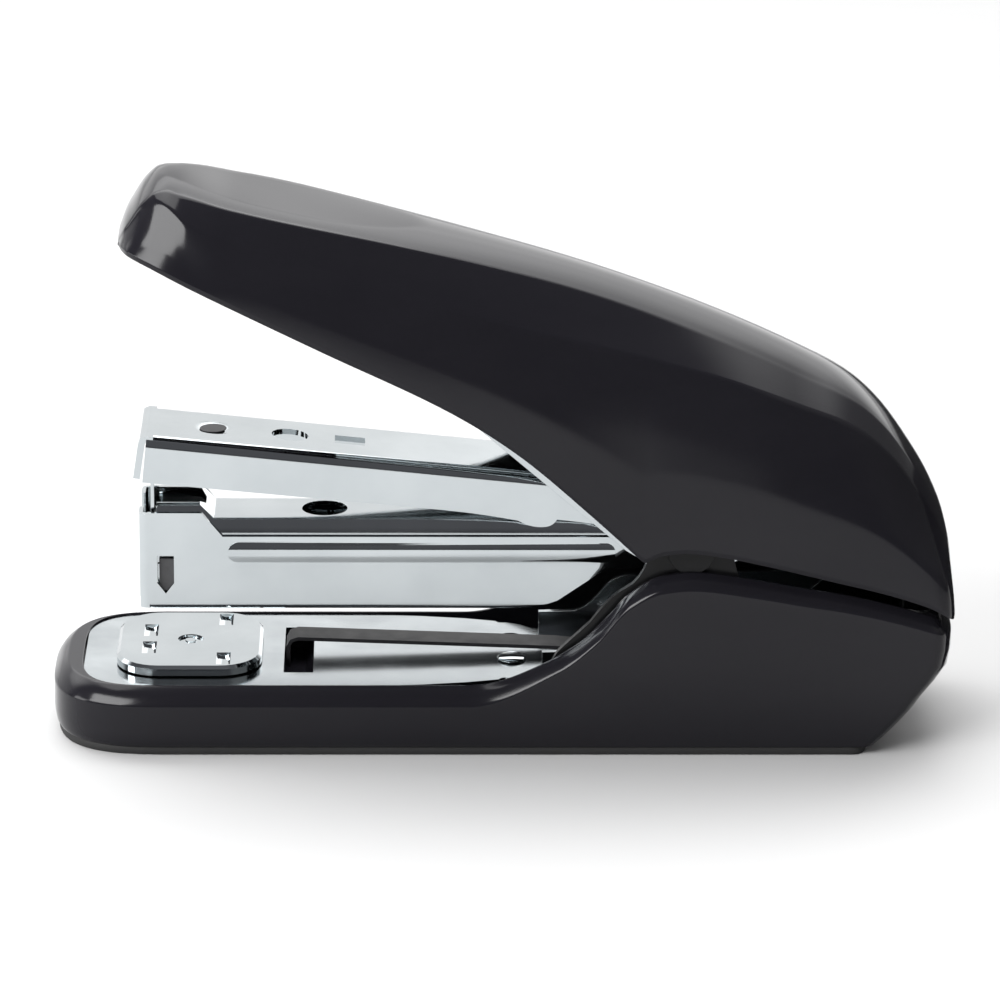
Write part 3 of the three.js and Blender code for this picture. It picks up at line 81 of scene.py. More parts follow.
def through(stations):
    """Height along x through a few stations (x, z): a cubic between each two, whose slope at a
    station is the harmonic mean of the slopes beside it, so the curve never overshoots."""
    xs, zs = np.array(stations, float).T
    rise = np.diff(zs) / np.diff(xs)
    slopes = np.empty_like(xs)
    slopes[0], slopes[-1] = rise[0], rise[-1]
    before, after = rise[:-1], rise[1:]
    same_way = before * after > 0
    total = np.where(same_way, before + after, 1)
    slopes[1:-1] = np.where(same_way, 2 * before * after / total, 0)

    def height(x):
        x = np.clip(x, xs[0], xs[-1])
        i = np.clip(np.searchsorted(xs, x, side="right") - 1, 0, len(xs) - 2)
        span = xs[i + 1] - xs[i]
        t = (x - xs[i]) / span
        ease = t * t * (3 - 2 * t)
        bend = t * (1 - t) * ((1 - t) * slopes[i] - t * slopes[i + 1]) * span
        return zs[i] * (1 - ease) + zs[i + 1] * ease + bend

    return height


def spaced(*stretches):
    """Stations along x: each stretch (start, end, count, crowd) is evenly spaced, or crowded
    towards its start ("start") or its end ("end") as the square of an even spacing."""
    parts = []
    for start, end, count, crowd in stretches:
        t = np.arange(count) / count
        if crowd == "start":
            t = t * t
        elif crowd == "end":
            t = 1 - (1 - t) ** 2
        parts.append(start + t * (end - start))
    parts.append([stretches[-1][1]])
    return np.concatenate(parts)


# ---------------------------------------------------------------- grids to meshes


def quads_of(rows, columns, around=False):
    """Corner numbers of the quads of a grid; around joins the last column to the first."""
    last = columns if around else columns - 1
    i, j = np.meshgrid(np.arange(rows - 1), np.arange(last), indexing="ij")
    k = (j + 1) % columns
    row, next_row = i * columns, (i + 1) * columns
    return np.stack([row + j, row + k, next_row + k, next_row + j], -1).reshape(-1, 4)


def shell_of(outer, inner):
    """Points and quads of a closed wall: two grids of one size, joined all round their edges."""
    rows, columns = outer.shape[:2]
    count = rows * columns
    skin = quads_of(rows, columns)
    number = np.arange(count).reshape(rows, columns)
    edge = np.concatenate([number[0, :-1], number[:-1, -1], number[-1, :0:-1], number[:0:-1, 0]])
    following = np.roll(edge, -1)
    rim = np.stack([edge, edge + count, following + count, following], -1)
    points = np.concatenate([outer.reshape(-1, 3), inner.reshape(-1, 3)])
    return points, np.concatenate([skin, skin[:, ::-1] + count, rim])


def make_piece(name, points, quads, material, body, replaces):
    """A mesh object from points in millimetres and quads. Coinciding points are merged, faces are
    turned outwards by the sign of the volume that they enclose, and only edges sharper than
    HARD_EDGE stay hard."""
    mesh = bpy.data.meshes.new(name)
    mesh.from_pydata((points * MM).tolist(), [], quads.tolist())
    work = bmesh.new()
    work.from_mesh(mesh)
    bmesh.ops.remove_doubles(work, verts=work.verts, dist=2e-7)
    bmesh.ops.dissolve_degenerate(work, edges=work.edges, dist=1e-8)
    if work.calc_volume(signed=True) < 0:
        bmesh.ops.reverse_faces(work, faces=work.faces)
    work.to_mesh(mesh)
    work.free()
    mesh.shade_smooth()
    mesh.set_sharp_from_angle(angle=HARD_EDGE)
    mesh.materials.append(material)
    piece = bpy.data.objects.new(name, mesh)
    bpy.context.scene.collection.objects.link(piece)
    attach(piece, body)
    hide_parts(*replaces)
    return piece


def eased_corner(before, corner, after, reach, steps):
    """Points that round a corner of a section: a parabola from reach before it to reach after it.
    The three corners are arrays of points, one for each station."""
    def towards(end):
        line = end - corner
        length = np.linalg.norm(line, axis=-1, keepdims=True)
        return corner + line * np.minimum(reach / np.maximum(length, 1e-6), 0.48)

    start, end = towards(before), towards(after)
    t = np.linspace(0, 1, steps)[None, :, None]
    return (1 - t) ** 2 * start[:, None] + 2 * t * (1 - t) * corner[:, None] + t ** 2 * end[:, None]


# ---------------------------------------------------------------- materials

NOISE_LOW = 0.3  # most of a noise texture lies between these two values
NOISE_HIGH = 0.7


def nodes_of(name):
    """A new material with its node tree and its Principled shader."""
    material = bpy.data.materials.new(name)
    material.use_nodes = True
    tree = material.node_tree
    return material, tree, tree.nodes["Principled BSDF"]


def noise(tree, scale, detail=3.0, stretch=(1, 1, 1)):
    """A noise texture on the piece's own coordinates, stretched by a Mapping node."""
    place = tree.nodes.new("ShaderNodeTexCoord")
    mapping = tree.nodes.new("ShaderNodeMapping")
    mapping.inputs["Scale"].default_value = stretch
    texture = tree.nodes.new("ShaderNodeTexNoise")
    texture.inputs["Scale"].default_value = scale
    texture.inputs["Detail"].default_value = detail
    texture.inputs["Roughness"].default_value = 0.55
    tree.links.new(place.outputs["Object"], mapping.inputs["Vector"])
    tree.links.new(mapping.outputs["Vector"], texture.inputs["Vector"])
    return texture.outputs["Fac"]


def between(tree, value, low, high):
    """A noise spread evenly from low to high."""
    spread = tree.nodes.new("ShaderNodeMapRange")
    spread.inputs["From Min"].default_value = NOISE_LOW
    spread.inputs["From Max"].default_value = NOISE_HIGH
    spread.inputs["To Min"].default_value = low
    spread.inputs["To Max"].default_value = high
    tree.links.new(value, spread.inputs["Value"])
    return spread.outputs["Result"]


def shaded(tree, value, dark, light):
    """A colour between two, by a noise."""
    ramp = tree.nodes.new("ShaderNodeValToRGB")
    ramp.color_ramp.elements[0].color = (*dark, 1)
    ramp.color_ramp.elements[1].color = (*light, 1)
    ramp.color_ramp.elements[0].position = NOISE_LOW
    ramp.color_ramp.elements[1].position = NOISE_HIGH
    tree.links.new(value, ramp.inputs["Fac"])
    return ramp.outputs["Color"]


def bumped(tree, shader, *layers):
    """Bump layers (height, strength, distance), each on top of the one before."""
    normal = None
    for height, strength, distance in layers:
        bump = tree.nodes.new("ShaderNodeBump")
        bump.inputs["Strength"].default_value = strength
        bump.inputs["Distance"].default_value = distance
        tree.links.new(height, bump.inputs["Height"])
        if normal is not None:
            tree.links.new(normal, bump.inputs["Normal"])
        normal = bump.outputs["Normal"]
    tree.links.new(normal, shader.inputs["Normal"])


def gloss_black_plastic():
    """Moulded black plastic with a polished skin: faint flow marks and a few handling smudges."""
    material, tree, shader = nodes_of("gloss black plastic")
    flow = noise(tree, 60, stretch=(0.4, 1, 1))
    smudges = noise(tree, 35, detail=5)
    grain = noise(tree, 2600, detail=1)
    colour = shaded(tree, flow, (0.0094, 0.0090, 0.0118), (0.0120, 0.0115, 0.0145))
    tree.links.new(colour, shader.inputs["Base Color"])
    tree.links.new(between(tree, smudges, 0.1, 0.16), shader.inputs["Roughness"])
    shader.inputs["IOR"].default_value = 1.31
    bumped(tree, shader, (flow, 0.05, 0.0004), (grain, 0.04, 0.00002))
    return material


def rubber():
    """Soft matt rubber with a fine even grain."""
    material, tree, shader = nodes_of("matt black rubber")
    grain = noise(tree, 1800, detail=4)
    colour = shaded(tree, grain, (0.012, 0.012, 0.012), (0.022, 0.022, 0.022))
    tree.links.new(colour, shader.inputs["Base Color"])
    tree.links.new(between(tree, grain, 0.6, 0.8), shader.inputs["Roughness"])
    bumped(tree, shader, (grain, 0.3, 0.00005))
    return material


def plated(name, dark, light, gloss, dull, waviness=0.12):
    """Plated metal: long faint rolling lines, a slight waviness that bends what it reflects, and
    patches that are a little duller."""
    material, tree, shader = nodes_of(name)
    rolling = noise(tree, 900, detail=2, stretch=(0.05, 1, 1))
    waves = noise(tree, 55, detail=1)
    patches = noise(tree, 90, detail=4)
    tree.links.new(shaded(tree, patches, dark, light), shader.inputs["Base Color"])
    tree.links.new(between(tree, patches, gloss, dull), shader.inputs["Roughness"])
    shader.inputs["Metallic"].default_value = 1.0
    bumped(tree, shader, (waves, waviness, 0.0003), (rolling, 0.03, 0.00002))
    return material


def chrome():
    """Bright plating of the pressed mechanism."""
    return plated("bright chrome plating", (0.48, 0.515, 0.53), (0.53, 0.565, 0.58), 0.04, 0.09)


def satin_chrome():
    """The large plate is plated over a satin blank, so its reflections are soft."""
    return plated("satin chrome plating", (0.40, 0.43, 0.445), (0.46, 0.49, 0.505), 0.13, 0.19)


def blackened(name, dark, light):
    """Steel under a thin chemical blackening."""
    material, tree, shader = nodes_of(name)
    mottle = noise(tree, 420, detail=3)
    tree.links.new(shaded(tree, mottle, dark, light), shader.inputs["Base Color"])
    tree.links.new(between(tree, mottle, 0.42, 0.55), shader.inputs["Roughness"])
    shader.inputs["Specular IOR Level"].default_value = 0.15
    bumped(tree, shader, (mottle, 0.1, 0.00003))
    return material


def blued_steel():
    """Dark rivet that holds the blade."""
    return blackened("blued steel", (0.015, 0.015, 0.017), (0.05, 0.05, 0.053))


def zinc_steel():
    """Zinc on the turned pieces, much duller than the chrome and a little wavier."""
    return plated("zinc plated steel", (0.50, 0.51, 0.52), (0.62, 0.63, 0.64), 0.22, 0.34, 0.2)


def spring_steel():
    """Blackened strip and wire: almost no mirror left, a faint mottling."""
    return blackened("blackened spring steel", (0.010, 0.010, 0.011), (0.018, 0.018, 0.020))


def black_steel():
    """Steel under a thin even coat of black paint, kept near black so that it also paints the shade in the
    gap between the cover and the base.
    """
    material, tree, shader = nodes_of("black painted steel")
    coat = noise(tree, 700, detail=3)
    # painted shade: this near-black colour also stands in for the shade in the gap between the cover and the
    # base
    colour = shaded(tree, coat, (0.004, 0.004, 0.0045), (0.007, 0.007, 0.0075))
    tree.links.new(colour, shader.inputs["Base Color"])
    tree.links.new(between(tree, coat, 0.3, 0.42), shader.inputs["Roughness"])
    shader.inputs["IOR"].default_value = 1.3
    bumped(tree, shader, (coat, 0.12, 0.00003))
    return material


def grey_plastic():
    """Dark grey moulding with a fine matt grain."""
    material, tree, shader = nodes_of("dark grey moulding")
    grain = noise(tree, 1500, detail=3)
    colour = shaded(tree, grain, (0.045, 0.045, 0.048), (0.06, 0.06, 0.063))
    tree.links.new(colour, shader.inputs["Base Color"])
    tree.links.new(between(tree, grain, 0.4, 0.55), shader.inputs["Roughness"])
    bumped(tree, shader, (grain, 0.2, 0.00004))
    return material


BLACK = gloss_black_plastic()
FINISHES = {
    "black_plastic": BLACK,
    "black_rubber": rubber(),
    "chrome": chrome(),
    "zinc_steel": zinc_steel(),
    "spring_steel": spring_steel(),
    # near black, so it also paints the shade in the gap between the cover and the base
    "black_steel": black_steel(),
    "grey_plastic": grey_plastic(),
}
OWN_FINISHES = {"base_plate": satin_chrome(), "blade_rivet": blued_steel()}  # unlike their slot's


# ---------------------------------------------------------------- handle cover

COVER_WALL = 2.2
HEM_STRIP = 0.8  # height of the narrow strip along the cover's lower edge
HEM_INSET = 0.3  # how far that strip leans in at its foot
SIDE_SHARE = 0.4  # how far up from the strip to the crease the side first bends
WAIST_FULLNESS = 0.25  # how far the side bulges past a flat panel, behind the nose
INBOARD = 0.7  # where on the top the shoulder's easing is aimed: share of the half width
MOUTH_EASING = 0.6  # rounds the corner between the mouth and the split line
DISH_X = -34  # middle of the finger dish
DISH_HALF_LENGTH = 21
DISH_HALF_WIDTH = 9.6
DISH_DEPTH = 0.95

# Stations along x, from the nose to the heel: heights, drops and half widths of the cover's lines.
crown_height = through([
    (-61.4, 82.9), (-60.6, 84.9), (-59.4, 87), (-57.3, 90.2), (-55.2, 92), (-53.2, 92.5), (-43, 90.6),
    (-26.3, 87), (-7.1, 82.4), (12.1, 77.1), (31.5, 70.2), (51.1, 61.3), (56.1, 58.2), (61.1, 53.6),
    (66.2, 46.7), (70.4, 39.3), (72.4, 33), (73, 26),
])
top_half_width = through([
    (-61.4, 5), (-60, 8.4), (-58, 8.6), (-53.5, 8.4), (-51, 10), (-45, 12), (-36, 12.9), (-18, 11.3),
    (0, 9.5), (20, 8.6), (50, 9), (62, 8.8), (68, 8.2), (73, 6),
])
top_drop = through([
    (-61.4, 0.6), (-56, 0.9), (-50, 1.6), (-36, 1.7), (0, 1.9), (46, 2.2), (60, 1.2), (68, 1),
])
crease_half_width = through([
    (-61.4, 5.4), (-60, 8.6), (-58, 9.1), (-56, 9.7), (-54, 10.7), (-52, 12.3), (-50, 13.6), (-45, 14.6),
    (-27, 15.3), (0, 16), (38, 16), (51, 15), (58, 14.4), (63.3, 13.8), (68, 13), (71.5, 11.4), (73, 7.75),
])
crease_drop = through([
    (-61.4, 0.5), (-58, 0.9), (-56, 1.1), (-54, 1.4), (-52, 2.4), (-50, 3.8), (-45, 5), (-27, 6.2),
    (0, 7.2), (20, 5.8), (38, 3.9), (51, 3), (63, 2.4), (73, 2),
])
side_half_width = through([
    (-61.4, 6.3), (-60.6, 9.2), (-59.6, 10.9), (-58, 12), (-56, 13), (-54, 13.9), (-52, 14.8), (-50, 15.5),
    (-45, 16.8), (-28, 18.3), (0, 19.1), (60, 19.1), (69, 19), (71, 18.6), (72, 17.4), (72.6, 15.2),
    (73, 10.55),
])
hem_half_width = through([
    (-61.4, 7), (-60.6, 10.4), (-59.6, 12.6), (-57, 14.6), (-53, 16), (-45, 17.4), (-28, 18.9),
    (-5, HALF_WIDTH), (69.6, HALF_WIDTH), (71.2, 19.3), (72.1, 18.1), (72.65, 16), (73, 11.55),
])
HEM_CORNER = (22.4, 32.7)  # where the open mouth meets the split line over the base
MOUTH_REAR = (26, 29)  # each of the two lines runs on a little past that corner
SPLIT_FRONT = (18, 29)
FAR_BELOW = -100  # stands for a line where it has ended
mouth_height = through([
    (-61.4, 82), (-60, 81.7), (-57, 80.7), (-50, 77.5), (-28.3, 67.4), (-9, 58.2), (1.3, 51.6), (14.1, 40.6),
    HEM_CORNER, MOUTH_REAR,
])
split_height = through([
    SPLIT_FRONT, HEM_CORNER, (25.4, 34.2), (29, 34.6), (35, 33.9), (41.2, 32.6), (53.5, 29.6), (60, 28),
    (66.5, 26), (69, 25), (71.5, 23.4), (73, 22.2),
])


def cover_bottom(x):
    """Lower edge of the cover: the higher of the mouth and the split line, as half their sum and
    half the root of their squared difference, with MOUTH_EASING added to round where they meet."""
    mouth = np.where(x < MOUTH_REAR[0], mouth_height(x), FAR_BELOW)
    split = np.where(x > SPLIT_FRONT[0], split_height(x), FAR_BELOW)
    return (mouth + split + np.sqrt((mouth - split) ** 2 + MOUTH_EASING)) / 2


def finger_dish(x, y):
    """Depth of the finger dish: a paraboloid over an oval, with a crisp rim."""
    reach = ((x - DISH_X) / DISH_HALF_LENGTH) ** 2 + (y / DISH_HALF_WIDTH) ** 2
    return np.where(reach < 1, DISH_DEPTH * (1 - reach), 0)


def cover_section(x, wall):
    """One cross-section of the cover for each x, from the near hem over the crown to the far hem.
    Between its corners (hem, side, waist, crease, shoulder) it is straight, the corners are eased
    by parabolas, and the top between the shoulders is a parabola. wall is how far the section lies
    inside the outer one."""
    crown = crown_height(x) - wall
    shoulder_y = np.maximum(top_half_width(x) - 0.6 * wall, 0.5)
    shoulder_z = crown - top_drop(x)
    crease_y = np.maximum(crease_half_width(x) - wall, 0.8)
    crease_z = np.minimum(crown_height(x) - top_drop(x) - crease_drop(x), shoulder_z - 0.2)
    hem_y = np.maximum(hem_half_width(x) - wall, 1.2)
    side_y = np.maximum(side_half_width(x) - wall, 1.0)
    bottom = cover_bottom(x)
    strip = np.minimum(HEM_STRIP, 0.3 * (crease_z - bottom))
    side_z = bottom + strip + (crease_z - bottom - strip) * SIDE_SHARE
    waist_y = (side_y + crease_y) / 2 + np.interp(x, [-54, -42], [0, WAIST_FULLNESS])
    waist_z = (side_z + crease_z) / 2
    inset = 0 if wall else HEM_INSET

    def corner(y, z):
        return np.stack([-y, z], -1)

    hem = corner(hem_y - inset, bottom)
    strip_top = corner(hem_y, bottom + strip)
    side, waist = corner(side_y, side_z), corner(waist_y, waist_z)
    crease, shoulder = corner(crease_y, crease_z), corner(shoulder_y, shoulder_z)
    inboard = corner(shoulder_y * INBOARD, shoulder_z + top_drop(x) * (1 - INBOARD ** 2))
    half = [
        hem[:, None],
        eased_corner(hem, strip_top, side, 0.2, 4),
        eased_corner(strip_top, side, waist, 1.4, 8),
        eased_corner(side, waist, crease, 4.0, 8),
        eased_corner(waist, crease, shoulder, 0.7, 8),
        eased_corner(crease, shoulder, inboard, 0.6, 7),
    ]
    near = np.concatenate(half, axis=1)
    start = near[:, -1]
    t = np.linspace(0, 1, 26)[None, 1:-1]
    y = start[:, 0:1] * (1 - 2 * t)
    share = y / shoulder_y[:, None]
    z = shoulder_z[:, None] + top_drop(x)[:, None] * (1 - share ** 2)
    if wall == 0:
        z = z - finger_dish(x[:, None], y)
    far = near[:, ::-1] * np.array([-1, 1])
    section = np.concatenate([near, np.stack([y, z], -1), far], axis=1)
    return np.concatenate([np.broadcast_to(x[:, None, None], section.shape[:2] + (1,)), section], axis=-1)


def capped(grid):
    """The grid with one more row at each end, laid flat on the line between that row's two ends,
    so that both ends of the sheet close with a plane face."""
    def flattened(row):
        share = np.abs(row[:, 1] - row[0, 1]) / max(abs(row[-1, 1] - row[0, 1]), 1e-6)
        return row[0] + share[:, None] * (row[-1] - row[0])

    return np.concatenate([flattened(grid[0])[None], grid, flattened(grid[-1])[None]])


def handle_cover():
    """Hollow moulding: an outer and an inner loft over the same stations, joined along the hem."""
    low_x, high_x = cover_low[0], cover_high[0]
    x = spaced((low_x, -55, 36, "start"), (-55, -50, 12, ""), (-50, 18, 60, ""), (18, 28, 44, ""),
               (28, 62, 36, ""), (62, high_x, 40, "end"))
    inside = np.interp(x, [low_x, high_x], [low_x + 3, high_x - COVER_WALL])
    outer = capped(cover_section(x, 0))
    inner = capped(cover_section(inside, COVER_WALL))
    points, quads = shell_of(outer, inner)
    return make_piece("handle_cover_moulding", points, quads, BLACK, "handle",
                      ["handle_cover"])


# ---------------------------------------------------------------- base housing

NOSE_REACH = 20.2  # lengths of the plan's rounded ends, and the power of their superellipse
HEEL_REACH = 4.5
ROUNDNESS = 3
HUMP_FOOT_X = -5  # where the rim starts to climb
HUMP_CREST_X = 30
RIM_FRONT = 11.3
RIM_HEEL = 21.2
RIM_INSET = 2.35
WALL = 2.75
OPENING_ROUNDNESS = 3.6
OPENING_NOSE_REACH = 15
WELL_FLOOR = 8.3
HEEL_FLOOR = 14
WELL_FRONT_X = -6
WELL_REAR_X = 59.8
PLATE_WINDOW_X = -33
PLATE_WINDOW_LENGTH = 4.8
WINDOW_FLOOR = 5.5
FLOOR_STEPS = [PLATE_WINDOW_X - PLATE_WINDOW_LENGTH / 2, PLATE_WINDOW_X + PLATE_WINDOW_LENGTH / 2,
               WELL_FRONT_X, WELL_REAR_X]
FOOT_TUCK = 0.38  # how far the wall leans in at its foot
FOOT_TUCK_SHARE = 0.4  # share of the wall's height over which it does
BEVEL_INSET_SHARE = 0.38  # where the bevel bends: share of the wall's thickness, and of the drop
BEVEL_RISE_SHARE = 0.62
RIM_TURN = 0.6  # depth of the turn from the rim into the inner wall

# Shares of the way along x and of the rise or fall, for the rim's climb to its crest and its fall.
climb = [(-0.2, 0), (0, 0), (0.4, 0.26), (0.57, 0.5), (0.72, 0.82), (0.87, 0.97), (1, 1)]
fall = [(0.26, 0.15), (0.42, 0.285), (0.56, 0.39), (0.71, 0.54), (0.86, 0.73), (0.95, 0.87), (1, 1)]
rim_height = through([
    (HUMP_FOOT_X + at * (HUMP_CREST_X - HUMP_FOOT_X), RIM_FRONT + share * (RIM_CREST - RIM_FRONT))
    for at, share in climb
] + [
    (HUMP_CREST_X + at * (HEEL_X - HUMP_CREST_X), RIM_CREST - share * (RIM_CREST - RIM_HEEL))
    for at, share in fall
])
bevel_drop = through([(HUMP_FOOT_X, 2.7), (15, 1.6), (HUMP_CREST_X, 2.1), (HEEL_X, 1.7)])
# Rear end of the wall by height: the heel leans back as it rises.
heel_at = through([
    (0, HEEL_X - 12.2), (1.5, HEEL_X - 10.7), (3.6, HEEL_X - 8.4), (7.5, HEEL_X - 4.9), (9.7, HEEL_X - 3.5),
    (13.5, HEEL_X - 0.6), (17, HEEL_X),
])


def plan_loop(front_x, rear_x, half_width, nose_reach, heel_reach, roundness, shares):
    """Plan of the base as a loop of points: superellipse ends with straight sides between them.
    shares places the points of the straight sides, from 0 at the nose to 1 at the heel."""
    power = 2 / roundness
    nose = np.linspace(0, np.pi / 2, 40)[:-1]
    heel = np.linspace(0, np.pi / 2, 34)[1:]
    nose_end, heel_start = front_x + nose_reach, rear_x - heel_reach
    x = np.concatenate([
        nose_end - nose_reach * np.cos(nose) ** power,
        nose_end + shares * (heel_start - nose_end),
        heel_start + heel_reach * np.sin(heel) ** power,
    ])
    y = half_width * np.concatenate([
        np.sin(nose) ** power, np.ones(len(shares)), np.clip(np.cos(heel), 0, 1) ** power,
    ])
    return np.concatenate([np.stack([x, -y], -1), np.stack([x, y], -1)[-2:0:-1]])


def side_shares(nose_end, heel_start):
    """Even spacing along the sides, finer where the rim climbs, with pairs at the floor's steps."""
    span = heel_start - nose_end
    x = spaced((nose_end, -8, 14, ""), (-8, 32, 60, ""), (32, heel_start, 24, ""))
    steps = [at + side for at in FLOOR_STEPS for side in (-0.02, 0.02)]
    return (np.sort(np.concatenate([x, steps])) - nose_end) / span


def base_ring(inset, height_at, heel_end, shares):
    """The base's plan drawn in by inset and ending at heel_end, lifted to height_at(x)."""
    loop = plan_loop(NOSE_X + inset, heel_end - inset, HALF_WIDTH - inset, NOSE_REACH - inset,
                     HEEL_REACH - inset, ROUNDNESS, shares)
    return np.concatenate([loop, height_at(loop[:, 0])[:, None]], axis=1)


def eased_rings(rings, reaches, steps=6):
    """Rings up a wall, with each inner ring of a list replaced by a few that round it off."""
    rows = [rings[0]]
    for before, corner, after, reach in zip(rings, rings[1:], rings[2:], reaches):
        rows.extend(np.moveaxis(eased_corner(before, corner, after, reach, steps), 1, 0))
    rows.append(rings[-1])
    return rows


def floor_height(x):
    """Steps along x: the shelf under the plate with the trench below the plate's window, the deep
    well, and the heel's shelf."""
    deck = np.where(abs(x - PLATE_WINDOW_X) < PLATE_WINDOW_LENGTH / 2, WINDOW_FLOOR, DECK - 0.02)
    return np.where(x < WELL_FRONT_X, deck, np.where(x < WELL_REAR_X, WELL_FLOOR, HEEL_FLOOR))


def collapsed(ring):
    """The ring pressed flat onto its middle line."""
    flat = ring.copy()
    flat[:, 1] = 0
    return flat


def base_housing():
    """Moulded base: one skin carried round the plan, up the wall, over the bevel and the rim, and
    down the inner wall to the floor that carries the plate."""
    shares = side_shares(NOSE_X + NOSE_REACH, HEEL_X - HEEL_REACH)

    def bevel_low(x):
        return rim_height(x) - bevel_drop(x)

    def wall_ring(share, inset):
        def height(x):
            return SOLE_TOP + share * (bevel_low(x) - SOLE_TOP)
        return base_ring(inset, height, heel_at(height(HEEL_X)), shares)

    opening = plan_loop(plate_low[0] - 0.3, HEEL_X - WALL, HALF_WIDTH - WALL, OPENING_NOSE_REACH, 9,
                        OPENING_ROUNDNESS, shares)

    def opening_ring(height_at):
        return np.concatenate([opening, height_at(opening[:, 0])[:, None]], axis=1)

    def below_rim(x):
        return rim_height(x) - RIM_TURN

    def foot_tuck(share):
        return FOOT_TUCK * (1 - min(share / FOOT_TUCK_SHARE, 1)) ** 2

    bottom = wall_ring(0, 0.9)
    wall = [wall_ring(0, 0.5)] + [wall_ring(share, foot_tuck(share))
                                  for share in (0.06, 0.12, 0.2, 0.3, 0.4, 0.55, 0.7, 0.85, 0.94)]
    rim = eased_rings([
        wall_ring(0.94, 0), wall_ring(1, 0),
        base_ring(WALL * BEVEL_INSET_SHARE, lambda x: bevel_low(x) + BEVEL_RISE_SHARE * bevel_drop(x),
                  HEEL_X, shares),
        base_ring(RIM_INSET, rim_height, HEEL_X, shares),
        opening_ring(rim_height),
        opening_ring(below_rim),
    ], [0.5, 0.9, 0.3, 0.15])
    inner = [opening_ring(lambda x, s=s: floor_height(x) + s * (below_rim(x) - floor_height(x)))
             for s in (0.7, 0.35, 0)]
    floor = inner[-1]
    rows = [collapsed(bottom), bottom] + wall + rim + inner + [collapsed(floor)]
    grid = np.stack(rows)
    quads = quads_of(grid.shape[0], grid.shape[1], around=True)
    return make_piece("base_housing_moulding", grid.reshape(-1, 3), quads, BLACK, "base",
                      ["base_housing"])


def base_sole():
    """Thin soft sole: a slab with rounded edges that follows the base's plan."""
    shares = side_shares(NOSE_X + NOSE_REACH, HEEL_X - HEEL_REACH)
    heel_end = heel_at(0.0)
    levels = [
        (1.1, 0.0), (0.8, 0.08), (0.7, 0.3), (0.7, SOLE_TOP - 0.3), (0.8, SOLE_TOP - 0.08), (1.1, SOLE_TOP),
    ]
    rings = [base_ring(inset, lambda x, z=z: np.full_like(x, z), heel_end, shares) for inset, z in levels]
    grid = np.stack([collapsed(rings[0])] + rings + [collapsed(rings[-1])])
    quads = quads_of(grid.shape[0], grid.shape[1], around=True)
    return make_piece("sole_pad", grid.reshape(-1, 3), quads, FINISHES["black_rubber"], "base",
                      ["base_sole"])


# ---------------------------------------------------------------- metal pieces from the model

EDGE_BREAKS = {  # width of the broken edge on pressed and turned pieces, in millimetres
    "anvil_plate": 0.2, "base_plate": 0.18, "driver_arm": 0.14, "magazine_track": 0.12,
    "magazine_cover": 0.12, "handle_frame": 0.14, "pivot_bracket": 0.14,
}
DEFAULT_EDGE = 0.08


def dress(node, finish):
    """A pressed or turned piece keeps its shape: its triangles are merged, its flats made whole,
    its edges broken and its finish set."""
    piece = frame["nodes"][node]
    piece.data.polygons.foreach_set("use_smooth", np.ones(len(piece.data.polygons), bool))
    piece.data.materials.clear()
    piece.data.materials.append(finish)
    weld = piece.modifiers.new("merged triangles", "WELD")
    weld.merge_threshold = 2e-6
    whole = piece.modifiers.new("whole flats", "DECIMATE")
    whole.decimate_type = "DISSOLVE"
    whole.angle_limit = math.radians(0.5)
    edges = piece.modifiers.new("broken edges", "BEVEL")
    edges.width = EDGE_BREAKS.get(node, DEFAULT_EDGE) * MM
    edges.segments = 2
    edges.limit_method = "ANGLE"
    edges.angle_limit = math.radians(40)
    edges.use_clamp_overlap = True
    flats = piece.modifiers.new("flat faces lead", "WEIGHTED_NORMAL")
    flats.mode = "FACE_AREA"
    flats.weight = 100
    flats.keep_sharp = False


slot_of = {entry["node"]: entry["material_slot"] for entry in frame["record"]["subparts"]}


def dress_metal(replaced):
    """Every node that no moulding replaces gets its own finish, or its slot's."""
    for node in frame["nodes"]:
        if node not in replaced:
            dress(node, OWN_FINISHES.get(node, FINISHES[slot_of[node]]))


# ---------------------------------------------------------------- stage, lights and camera

CARD_NEAR_END = (0.084, -0.01)  # the dark card beside the heel, in metres
CARD_FAR_END = (0.12, 0.3)
CARD_HEIGHT = 0.046


def stage_sheet(name, corners, finish, grey, roughness):
    """A flat sheet with four corners, in metres, and a plain grey finish that mirrors nothing."""
    mesh = bpy.data.meshes.new(name)
    mesh.from_pydata(corners, [], [(0, 1, 2, 3)])
    material, tree, shader = nodes_of(finish)
    shader.inputs["Base Color"].default_value = (grey, grey, grey, 1)
    shader.inputs["Roughness"].default_value = roughness
    shader.inputs["Specular IOR Level"].default_value = 0.0
    mesh.materials.append(material)
    sheet = bpy.data.objects.new(name, mesh)
    bpy.context.scene.collection.objects.link(sheet)
    return sheet


def stage_floor():
    """Pale floor that reaches far past the view."""
    reach = 8.0
    corners = [(-reach, -reach, 0), (reach, -reach, 0), (reach, reach, 0), (-reach, reach, 0)]
    floor = stage_sheet("studio_floor", corners, "pale floor", 0.56, 0.9)


def dark_card():
    """A dark card upright beside the heel. Only reflections show it, so that the pale floor stays
    out of what the heel mirrors."""
    corners = [(*end, height) for end, height in (
        (CARD_NEAR_END, 0), (CARD_FAR_END, 0), (CARD_FAR_END, CARD_HEIGHT), (CARD_NEAR_END, CARD_HEIGHT),
    )]
    card = stage_sheet("dark_card", corners, "dark card", 0.02, 1.0)
    card.visible_camera = card.visible_diffuse = card.visible_shadow = False


def softbox(name, place, aim, size, power):
    """A rectangular soft light at a place, turned towards an aim, in metres."""
    light = bpy.data.lights.new(name, "AREA")
    light.shape = "RECTANGLE"
    light.size, light.size_y = size
    light.energy = power
    lamp = bpy.data.objects.new(name, light)
    bpy.context.scene.collection.objects.link(lamp)
    lamp.location = place
    lamp.rotation_mode = "QUATERNION"
    lamp.rotation_quaternion = (Vector(aim) - Vector(place)).to_track_quat("-Z", "Y")


